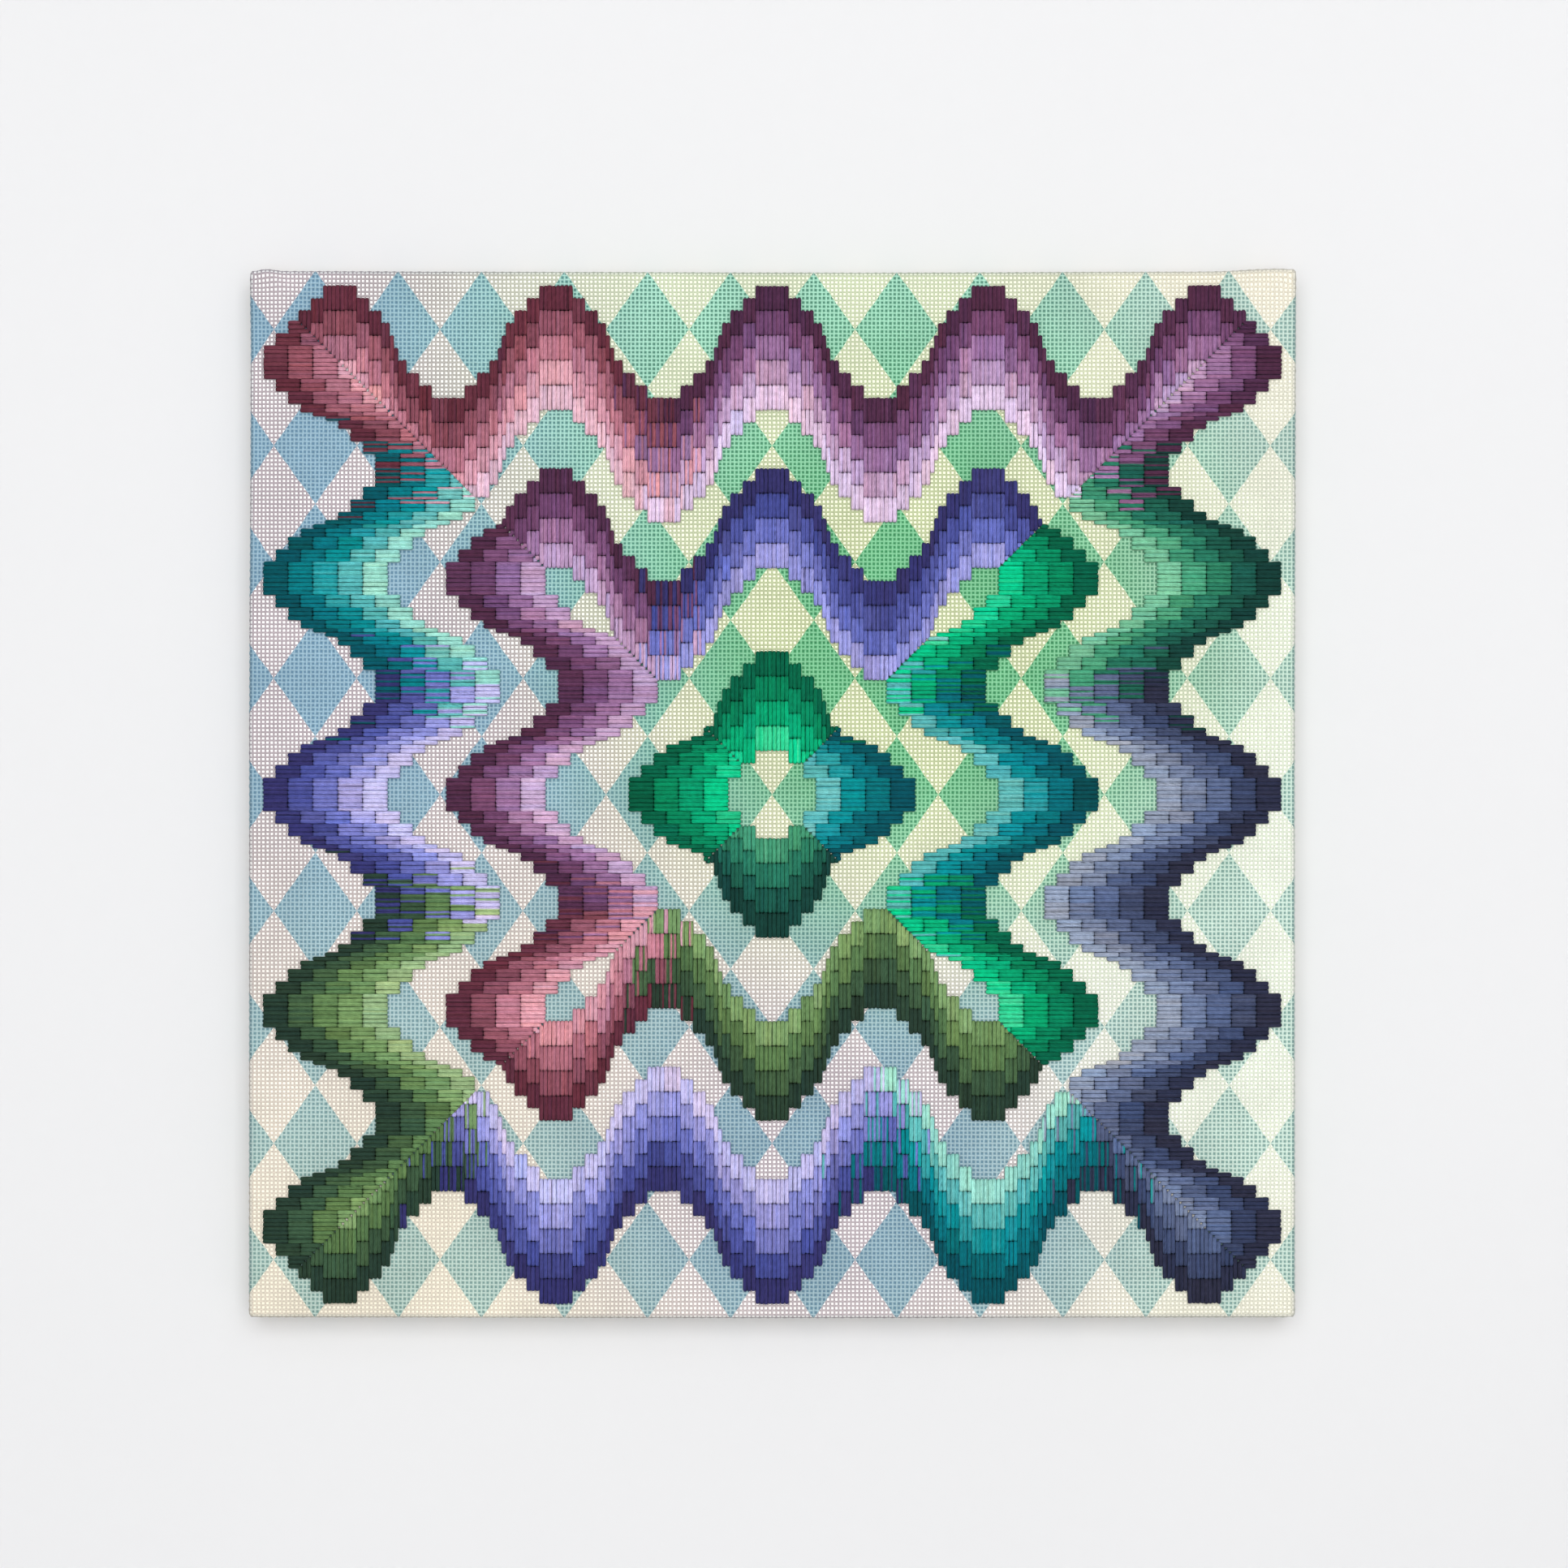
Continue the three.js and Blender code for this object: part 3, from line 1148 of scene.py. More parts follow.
@dataclass
class StitchChart:
    """Counts out the stitches: waves of stepped blocks, mitred at the corners."""

    blocks: tuple[int, ...] = (4, 3, 3, 2, 1, 1, 2, 3, 3, 4)
    long: int = 6
    step: int = 3
    mix_columns: int = 15

    @property
    def half_wave(self) -> int:
        """Gives the columns from a crest to a trough."""
        return sum(self.blocks)

    def fall(self, column: int) -> int:
        """Gives the threads that a wave has fallen at a column, counted from a side's middle."""
        along = column % (2 * self.half_wave)
        along = min(along, 2 * self.half_wave - 1 - along)
        reached = 0
        for level, width in enumerate(self.blocks):
            reached += width
            if along < reached:
                return level * self.step
        return len(self.blocks) * self.step

    def column_stitches(self, ring: Ring, side: Side, column: int) -> tuple[int, list[Stitch]]:
        """Counts the stitches of one column.

        Args:
            ring: The ring.
            side: The side.
            column: The column, counted from the side's middle.

        Returns:
            The wave that the column belongs to, and its stitches.
        """
        away = int(abs(column + 0.5) - 0.5)
        top = ring.crest_row - self.fall(away)
        wave = math.floor((column + 0.5) / (2 * self.half_wave) + 0.5)
        from_middle = column + 0.5 - wave * 2 * self.half_wave
        left_over = self.half_wave - abs(from_middle)
        beside = wave + (1 if from_middle > 0 else -1)
        share = max(0.0, 0.5 - left_over / (2 * self.mix_columns))
        level = self.fall(away) // self.step
        block = -level if from_middle < 0 else level
        family = ring.families[ring.order(side, wave)]
        other = ring.families[ring.order(side, beside)]
        made = []
        for step in range(ring.shades):
            high = top - self.long * step
            low = max(high - self.long, away)
            if high > away and high - low >= 1:
                made.append(Stitch(column, high, low, step, block, family, other, share))
        return wave, made

    def waves(self) -> list[Wave]:
        """Counts out every wave of the panel."""
        made: dict[str, Wave] = {}
        for ring in RINGS:
            furthest = ring.per_side // 2
            for side in Side:
                for column in range(-HALF_THREADS, HALF_THREADS):
                    number, stitches = self.column_stitches(ring, side, column)
                    if not stitches:
                        continue
                    node = f"{ring.name}_{side.name.lower()}_wave_{number + furthest + 1}"
                    if node not in made:
                        made[node] = Wave(node, side, ring.families[ring.order(side, number)])
                    made[node].stitches.extend(stitches)
        return list(made.values())

    def covered(self, waves: Sequence[Wave]) -> np.ndarray:
        """Marks the holes that lie under wool, with a margin of bare holes all round."""
        width = 2 * (HALF_THREADS + BARE_MARGIN)
        under = np.zeros((width, width), dtype=bool)
        for wave in waves:
            for stitch in wave.stitches:
                for row in range(stitch.low, stitch.high + 1):
                    across, up = wave.side.hole(stitch.column, row)
                    under[across + HALF_THREADS + BARE_MARGIN, up + HALF_THREADS + BARE_MARGIN] = True
        return under


class SectionPoint(NamedTuple):
    """One corner of a bundle's section, in half widths and half heights, and its light."""

    along: float
    height: float
    light: float
    left_share: float


# The light of each section corner is painted light and shade: the top lobes lighter, the sides and bottom
# darker.
SECTION: tuple[SectionPoint, ...] = (
    SectionPoint(0.0, 0.8, 0.95, 0.5),
    SectionPoint(-0.38, 1.0, 1.12, 1.0),
    SectionPoint(-0.78, 0.6, 0.86, 1.0),
    SectionPoint(-1.0, -0.1, 0.58, 1.0),
    SectionPoint(0.0, -0.9, 0.5, 0.5),
    SectionPoint(1.0, -0.1, 0.58, 0.0),
    SectionPoint(0.78, 0.6, 0.86, 0.0),
    SectionPoint(0.38, 1.0, 1.12, 0.0),
)


class BundleRing(NamedTuple):
    """One ring along a bundle: where it is, and its share of the full width, height and light."""

    share: float
    width: float
    height: float
    centre: float
    light: float


# The light of each ring is painted shade, darker towards the bundle's ends.
BUNDLE_RINGS: tuple[BundleRing, ...] = (
    BundleRing(0.03, 0.82, 0.72, 0.88, 0.86),
    BundleRing(0.1, 0.97, 0.94, 0.97, 0.98),
    BundleRing(0.5, 1.0, 1.0, 1.0, 1.05),
    BundleRing(0.9, 0.97, 0.94, 0.97, 0.98),
    BundleRing(0.97, 0.82, 0.72, 0.88, 0.86),
)


class ReverseLine(NamedTuple):
    """One line across a strand on the back: where it is, its width, and its heights."""

    share: float
    width: float
    edge: float
    middle: float


REVERSE_LINES: tuple[ReverseLine, ...] = (
    ReverseLine(0.0, 0.45, -0.6, -0.68),
    ReverseLine(0.2, 1.0, -0.62, -1.2),
    ReverseLine(0.8, 1.0, -0.62, -1.2),
    ReverseLine(1.0, 0.45, -0.6, -0.68),
)


@dataclass(frozen=True)
class DyeDrift:
    """How far the dye of single plies and of whole blocks strays from the family's shades, and how much
    painted shade darkens the bundles' tips.
    """

    block_mix: float = 0.35
    ply_shade: float = 0.1
    block_shade: float = 0.14
    furthest_shade: float = 0.4
    ply_warmth: float = 0.025
    block_warmth: float = 0.035
    ply_light: float = 0.06
    block_light: float = 0.05
    # Painted shade at the tips, where the bundles dip into the holes.
    tip_painted_shade: float = 0.7


@dataclass(frozen=True)
class HandWander:
    """How unevenly the bundles lie, in millimetres or as shares of their own sizes."""

    end_slack: tuple[float, float] = (-0.3, 0.02)
    reach: tuple[float, float] = (0.8, 1.25)
    girth: tuple[float, float] = (0.94, 1.08)
    girth_along: float = 0.03
    sideways: float = 0.05
    sideways_along: float = 0.06
    height: float = 0.05
    height_along: float = 0.03
    groove_aside: float = 0.16
    groove_depth: tuple[float, float] = (-0.12, 0.14)


@dataclass
class WoolWork:
    """Lays one soft bundle of wool, of two plies, for each stitch of the chart."""

    lay: CanvasLay
    seed: int = SEED
    drift: DyeDrift = DyeDrift()
    wander: HandWander = HandWander()
    half_width: float = 1.0
    half_height: float = 0.56
    middle_height: float = 1.26
    tallest: float = 2.05
    dip: float = 0.95
    end_reach: float = 1.05
    end_share: float = 0.3
    tip_share: float = 0.28
    full_threads: float = 4.0
    least_fullness: float = 0.45
    least_level: float = 0.7
    bed_height: float = 1.02
    # Painted shade: how dark the beds under the stitches are.
    bed_painted_shade: float = 0.72
    bed_inset: float = 0.45
    bed_overlap: float = 0.25
    bed_ply_span: float = 4.0
    cell_margin: float = 0.1
    reverse_window: float = 189.0
    reverse_half_width: float = 0.85
    reverse_ply_span: tuple[float, float] = (10.0, 2.0)

    def template(self) -> tuple[np.ndarray, np.ndarray]:
        """Lists the faces of one bundle: quads between its rings, and the cones of its tips.

        Returns:
            The quads and the triangles, as point numbers of one bundle.
        """
        count, rings = len(SECTION), len(BUNDLE_RINGS)
        quads = []
        for ring in range(rings - 1):
            for corner in range(count):
                after = (corner + 1) % count
                here, there = 1 + ring * count, 1 + (ring + 1) * count
                quads.append((here + corner, here + after, there + after, there + corner))
        last = 1 + (rings - 1) * count
        tip = last + count
        cones = [(0, 1 + (corner + 1) % count, 1 + corner) for corner in range(count)]
        cones += [(tip, last + corner, last + (corner + 1) % count) for corner in range(count)]
        return np.array(quads), np.array(cones)

    def bundle_points(self, wave: Wave, random: np.random.Generator) -> tuple[np.ndarray, ...]:
        """Places the points of a wave's bundles.

        Args:
            wave: The wave.
            random: The wave's own random numbers.

        Returns:
            Flat places across and up, and heights, each with one row a bundle.
        """
        count = len(wave.stitches)
        start, end, middle = ((wave.numbers(part) + 0.5) * PITCH for part in ("low", "high", "column"))
        wander = self.wander
        start = start + random.uniform(*wander.end_slack, count)
        end = end - random.uniform(*wander.end_slack, count)
        length = end - start
        reach = np.minimum(self.end_reach, self.end_share * length) * random.uniform(*wander.reach, count)
        full = np.clip(length / (self.full_threads * PITCH), self.least_fullness, 1.0)[:, None]
        near = self.tip_share * reach
        stations = np.stack([start + near, start + reach, (start + end) / 2, end - reach, end - near], axis=1)
        width, height, centre = (
            np.array([getattr(ring, part) for ring in BUNDLE_RINGS]) for part in ("width", "height", "centre")
        )
        each, all_rings = (count, 1), (count, len(width))
        offsets = random.normal(0, wander.sideways, each)
        offsets = offsets + random.normal(0, wander.sideways_along, all_rings) * width
        fat = random.uniform(*wander.girth, each)
        fat = fat * (1 + random.normal(0, wander.girth_along, all_rings))
        wide = self.half_width * fat * width
        tall = self.half_height * full * fat * height
        lift = random.normal(0, wander.height, each) + random.normal(0, wander.height_along, all_rings)
        level = self.middle_height * centre * (self.least_level + (1 - self.least_level) * full) + lift
        lobes = np.broadcast_to(np.array([point[:2] for point in SECTION]), (count, len(SECTION), 2)).copy()
        lobes[:, 0, 0] += random.normal(0, wander.groove_aside, count)
        lobes[:, 0, 1] += random.uniform(*wander.groove_depth, count)
        along = middle[:, None, None] + offsets[:, :, None] + wide[:, :, None] * lobes[:, None, :, 0]
        heights = level[:, :, None] + tall[:, :, None] * lobes[:, None, :, 1]
        heights = np.minimum(heights, self.tallest)
        up = np.broadcast_to(stations[:, :, None], along.shape)
        rows = (
            (middle, along, middle),
            (start, up, end),
            (np.full(count, self.dip), heights, np.full(count, self.dip)),
        )
        return tuple(
            np.concatenate([first[:, None], rings.reshape(count, -1), final[:, None]], axis=1)
            for first, rings, final in rows
        )

    def dyes(self, wave: Wave, random: np.random.Generator) -> np.ndarray:
        """Picks the dye of each ply of a wave, two for each stitch.

        Args:
            wave: The wave.
            random: The wave's own random numbers.

        Returns:
            A linear colour for each ply.
        """
        drift = self.drift
        colours = []
        blocks: dict[tuple[int, int], tuple[float, ...]] = {}
        for stitch in wave.stitches:
            key = (stitch.block, stitch.step)
            if key not in blocks:
                blocks[key] = (random.random(), *random.normal(0, 1, 3))
            chance, lean, light, warmth = blocks[key]
            for _ in range(2):
                drawn = (1 - drift.block_mix) * random.random() + drift.block_mix * chance
                wool = WOOLS[stitch.other if drawn < stitch.share else stitch.family]
                colour = wool.shade(stitch.step)
                toward = random.normal(0, drift.ply_shade) + drift.block_shade * lean
                beside = wool.shade(stitch.step + (1 if toward > 0 else -1))
                colour = colour + (beside - colour) * min(abs(toward), drift.furthest_shade)
                warm = drift.block_warmth * warmth + random.normal(0, drift.ply_warmth)
                lit = 1 + drift.block_light * light + random.normal(0, drift.ply_light)
                colours.append(colour * np.array([1 + warm, 1.0, 1 - warm]) * lit)
        return np.clip(np.array(colours), 0.0, 1.0)

    def bundle_shades(self, dyed: np.ndarray) -> np.ndarray:
        """Gives each point of the bundles its colour with painted shade: darker at the tips and low on the
        sides.
        """
        both = dyed.reshape(-1, 2, 3)
        left = np.array([point.left_share for point in SECTION])
        mixed = both[:, None, 0] * left[:, None] + both[:, None, 1] * (1 - left)[:, None]
        section = np.array([point.light for point in SECTION])
        ring = np.array([ring.light for ring in BUNDLE_RINGS])
        body = mixed[:, None] * (ring[:, None] * section[None])[None, :, :, None]
        # Painted shade: the tips take the mean dye darkened.
        tips = both.mean(axis=1)[:, None] * self.drift.tip_painted_shade
        shades = np.concatenate([tips, body.reshape(len(both), -1, 3), tips], axis=1)
        return np.clip(shades, 0.0, 1.0).reshape(-1, 3)

    def bundle_maps(
        self, per_row: int, length: np.ndarray, random: np.random.Generator
    ) -> tuple[list[np.ndarray], list[np.ndarray]]:
        """Lays out the maps of the bundles: one cell each for the bake, and the lay of the plies.

        Args:
            per_row: Cells in a row of the bake map.
            length: Each bundle's length in millimetres.
            random: The wave's own random numbers.

        Returns:
            The corners in the bake map and in the ply map, for the quads and for the cones.
        """
        count = len(length)
        sides = len(SECTION)
        shares = [ring.share for ring in BUNDLE_RINGS]
        around = np.arange(sides + 1) / sides
        quad_rows = []
        for near, far in zip(shares, shares[1:]):
            for left, right in zip(around, around[1:]):
                quad_rows.append([(near, left), (near, right), (far, right), (far, left)])
        cone_rows = [
            [(0.0, (left + right) / 2), (shares[0], right), (shares[0], left)]
            for left, right in zip(around, around[1:])
        ]
        cone_rows += [
            [(1.0, (left + right) / 2), (shares[-1], left), (shares[-1], right)]
            for left, right in zip(around, around[1:])
        ]
        start = random.uniform(0, 1, (count, 1, 1))
        bake, ply = [], []
        for rows in (np.array(quad_rows), np.array(cone_rows)):
            bake.append(self.cells(0, count, per_row, rows))
            along = rows[None, :, :, 0] * length[:, None, None]
            turn = rows[None, :, :, 1] + start
            ply.append(np.stack([along, turn], axis=-1).reshape(-1, rows.shape[1], 2))
        return bake, ply

    def cells(self, first: int, count: int, per_row: int, corners: np.ndarray) -> np.ndarray:
        """Puts one polygon's map in each of a run of the bake map's cells.

        Args:
            first: The number of the first cell.
            count: How many cells there are.
            per_row: Cells in a row of the map.
            corners: The polygons' corners within a cell, from 0 to 1.

        Returns:
            The corners in the whole map.
        """
        number = first + np.arange(count)
        cell = np.stack([number % per_row, number // per_row], axis=1)
        spot = self.cell_margin + (1 - 2 * self.cell_margin) * corners[None]
        return ((cell[:, None, None, :] + spot) / per_row).reshape(-1, corners.shape[1], 2)

    def add_beds(self, heap: ArrayHeap, wave: Wave, dyed: np.ndarray, cell: int, per_row: int) -> None:
        """Adds a darkened copy of each stitch's wool under it, low between the bundles: painted shade that
        fills the holes and the gaps.

        Args:
            heap: The arrays of the wave.
            wave: The wave.
            dyed: The colour of each ply.
            cell: The first cell of the bake map to use.
            per_row: Cells in a row of the map.
        """
        column, step = wave.numbers("column"), wave.numbers("step")
        start = wave.numbers("low") + 0.5
        end = wave.numbers("high") + 0.5
        start = start * PITCH + np.where(step == step.max(), self.bed_inset, -self.bed_overlap)
        end = end * PITCH - np.where(step == 0, self.bed_inset, -self.bed_overlap)
        left, right = column * PITCH, (column + 1) * PITCH
        along = np.stack([left, right, right, left], axis=1)
        out = np.stack([start, start, end, end], axis=1)
        across, up = wave.side.turned(along, out)
        points = self.lay.place(across, up, self.bed_height).reshape(-1, 3)
        count = len(wave.stitches)
        square = np.array([[(0.0, 0.0), (0.0, 1.0), (1.0, 1.0), (1.0, 0.0)]])
        # Painted shade: the beds take the wool's colour darkened.
        shades = np.repeat(dyed.reshape(count, 2, 3).mean(axis=1) * self.bed_painted_shade, 4, axis=0)
        quads = np.arange(4 * count).reshape(count, 4)
        ply = np.repeat(square * self.bed_ply_span, count, axis=0)
        heap.add(points, [quads], [self.cells(cell, count, per_row, square)], [ply], shades)

    def add_reverse(self, heap: ArrayHeap, wave: Wave, dyed: np.ndarray, cell: int, per_row: int) -> None:
        """Adds the long slanting strands on the inner face, where the frame leaves them in sight.

        Args:
            heap: The arrays of the wave.
            wave: The wave.
            dyed: The colour of each ply.
            cell: The first cell of the bake map to use.
            per_row: Cells in a row of the map.
        """
        low, high, middle = ((wave.numbers(part) + 0.5) * PITCH for part in ("low", "high", "column"))
        inside = (np.abs(middle) < self.reverse_window) & (high < self.reverse_window)
        if not inside.any():
            return
        low, high, middle = low[inside], high[inside], middle[inside]
        shares, widths, edges, middles = np.array(REVERSE_LINES).T
        half = self.reverse_half_width
        lateral = widths[:, None] * np.array([-half, 0.0, half])
        along = middle[:, None, None] + PITCH * shares[None, :, None] + lateral[None]
        out = low[:, None, None] + (high - low)[:, None, None] * shares[None, :, None]
        out = np.broadcast_to(out, along.shape)
        height = np.broadcast_to(np.stack([edges, middles, edges], axis=1), along.shape)
        across, up = wave.side.turned(along, out)
        points = self.lay.place(across, up, height).reshape(-1, 3)
        count, each = len(low), lateral.size
        number = np.arange(each).reshape(lateral.shape)
        lanes = np.array([0.0, 0.5, 1.0])
        quads, corners = [], []
        for row in range(len(shares) - 1):
            for lane in range(len(lanes) - 1):
                ends = ((row, lane), (row + 1, lane), (row + 1, lane + 1), (row, lane + 1))
                quads.append([number[end] for end in ends])
                corners.append([(shares[line], lanes[place]) for line, place in ends])
        quads, corners = np.array(quads), np.array(corners)
        quads = (quads[None] + each * np.arange(count)[:, None, None]).reshape(-1, 4)
        tone = dyed.reshape(-1, 2, 3).mean(axis=1)[inside]
        shades = np.repeat(tone, each, axis=0)
        ply = np.repeat(corners[None] * np.array(self.reverse_ply_span), count, axis=0).reshape(-1, 4, 2)
        heap.add(points, [quads], [self.cells(cell, count, per_row, corners)], [ply], shades)

    def work(self, wave: Wave, material: bpy.types.Material) -> bpy.types.Object:
        """Stitches one wave as a joined mesh.

        Args:
            wave: The wave.
            material: The wool of its family.

        Returns:
            The new piece.
        """
        random = np.random.default_rng([self.seed, sum(map(ord, wave.node))])
        along, out, height = self.bundle_points(wave, random)
        dyed = self.dyes(wave, random)
        across, up = wave.side.turned(along, out)
        points = self.lay.place(across, up, height).reshape(-1, 3)
        count = len(along)
        per_row = math.ceil(math.sqrt(3 * count))
        quads, cones = self.template()
        starts = np.arange(count)[:, None, None] * along.shape[1]
        groups = [(quads[None] + starts).reshape(-1, 4), (cones[None] + starts).reshape(-1, 3)]
        bake, ply = self.bundle_maps(per_row, out[:, -1] - out[:, 0], random)
        heap = ArrayHeap()
        heap.add(points, groups, bake, ply, self.bundle_shades(dyed))
        self.add_beds(heap, wave, dyed, count, per_row)
        self.add_reverse(heap, wave, dyed, 2 * count, per_row)
        made = heap.build(f"{wave.node}_strands")
        made.data.materials.append(material)
        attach(made, "root")
        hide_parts(wave.node)
        WOOLS[wave.family].slot
        return made


# The canvas


@dataclass
class CanvasSheet:
    """The canvas itself: one thin sheet over the front, down the sides and in over the back."""

    lay: CanvasLay
    thick: float = 0.6
    lines: int = 41
    fold_steps: int = 4
    side_steps: int = 5
    return_steps: int = 3
    rim_lines: tuple[float, ...] = (0.4, 0.8, 1.2, 3.5, 6.0, 10.0, 14.0)
    weld: float = 0.00002
    soft_edge: float = 50.0

    def across_lines(self) -> np.ndarray:
        """Gives the places of the sheet's lines, closer near its corners."""
        reach = self.lay.flat_half
        near = reach - np.array(self.rim_lines)
        places = np.concatenate([np.linspace(-reach, reach, self.lines), near, -near])
        return np.unique(np.round(places, 4))

    def outward_steps(self) -> np.ndarray:
        """Gives the flat places of the sheet's lines from the front's rim to the end of the return."""
        lay = self.lay
        fold = lay.fold_length * np.linspace(0, 1, self.fold_steps + 1)
        side = lay.fold_length + lay.side_length * np.linspace(0, 1, self.side_steps + 1)[1:]
        back_fold = side[-1] + fold[1:]
        back = back_fold[-1] + lay.return_length * np.linspace(0, 1, self.return_steps + 1)[1:]
        return lay.flat_half + np.concatenate([fold, side, back_fold, back])

    def patch(self, across: np.ndarray, up: np.ndarray, base: int) -> tuple[np.ndarray, ...]:
        """Makes one patch of the sheet of a grid of flat places.

        Args:
            across: A grid of flat places across.
            up: The grid's places up.
            base: The number of the patch's first point.

        Returns:
            Its points, polygons and map.
        """
        rows, columns = across.shape
        number = base + np.arange(rows * columns).reshape(rows, columns)
        quads = np.stack([number[:-1, :-1], number[1:, :-1], number[1:, 1:], number[:-1, 1:]], axis=-1)
        quads = quads.reshape(-1, 4)
        points = self.lay.place(across, up).reshape(-1, 3)
        places = flat_map(across, up).reshape(-1, 2)
        return points, quads, places[quads - base]

    def build(self, painted: bpy.types.Material, raw: bpy.types.Material) -> bpy.types.Object:
        """Builds the sheet, folded and with its thickness.

        Args:
            painted: The material of its outer face.
            raw: The material of its inner face.

        Returns:
            The new piece.
        """
        lines = self.across_lines()
        grids = [tuple(np.meshgrid(lines, lines, indexing="ij"))]
        along, out = np.meshgrid(lines, self.outward_steps(), indexing="ij")
        inward = np.maximum(out - self.lay.back_start, 0)
        along = along * (1 - inward / self.lay.flat_half)
        grids.extend(side.turned(along, out) for side in Side)
        points, polygons, places = [], [], []
        base = 0
        for across, up in grids:
            patch_points, patch_quads, patch_places = self.patch(across, up, base)
            points.append(patch_points)
            polygons.append(patch_quads)
            places.append(patch_places)
            base += len(patch_points)
        made = piece_from_arrays(
            "canvas_sheet",
            np.concatenate(points),
            [np.concatenate(polygons)],
            [CornerMap(BAKE_MAP, [np.concatenate(places)])],
        )
        self.close_seams(made)
        wall = made.modifiers.new("wall", "SOLIDIFY")
        wall.thickness = self.thick / 1000
        wall.offset = -1.0
        wall.material_offset = 1
        made.data.materials.append(painted)
        made.data.materials.append(raw)
        apply_modifiers(made)
        bpy.ops.object.shade_smooth_by_angle(angle=math.radians(self.soft_edge))
        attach(made, "root")
        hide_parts("needlepoint_canvas")
        return made

    def close_seams(self, made: bpy.types.Object) -> None:
        """Merges the patches where they meet, and turns all faces outwards."""
        only(made)
        bpy.ops.object.mode_set(mode="EDIT")
        bpy.ops.mesh.select_all(action="SELECT")
        bpy.ops.mesh.remove_doubles(threshold=self.weld)
        bpy.ops.mesh.dissolve_degenerate(threshold=self.weld)
        bpy.ops.mesh.select_all(action="SELECT")
        bpy.ops.mesh.normals_make_consistent(inside=False)
        bpy.ops.object.mode_set(mode="OBJECT")


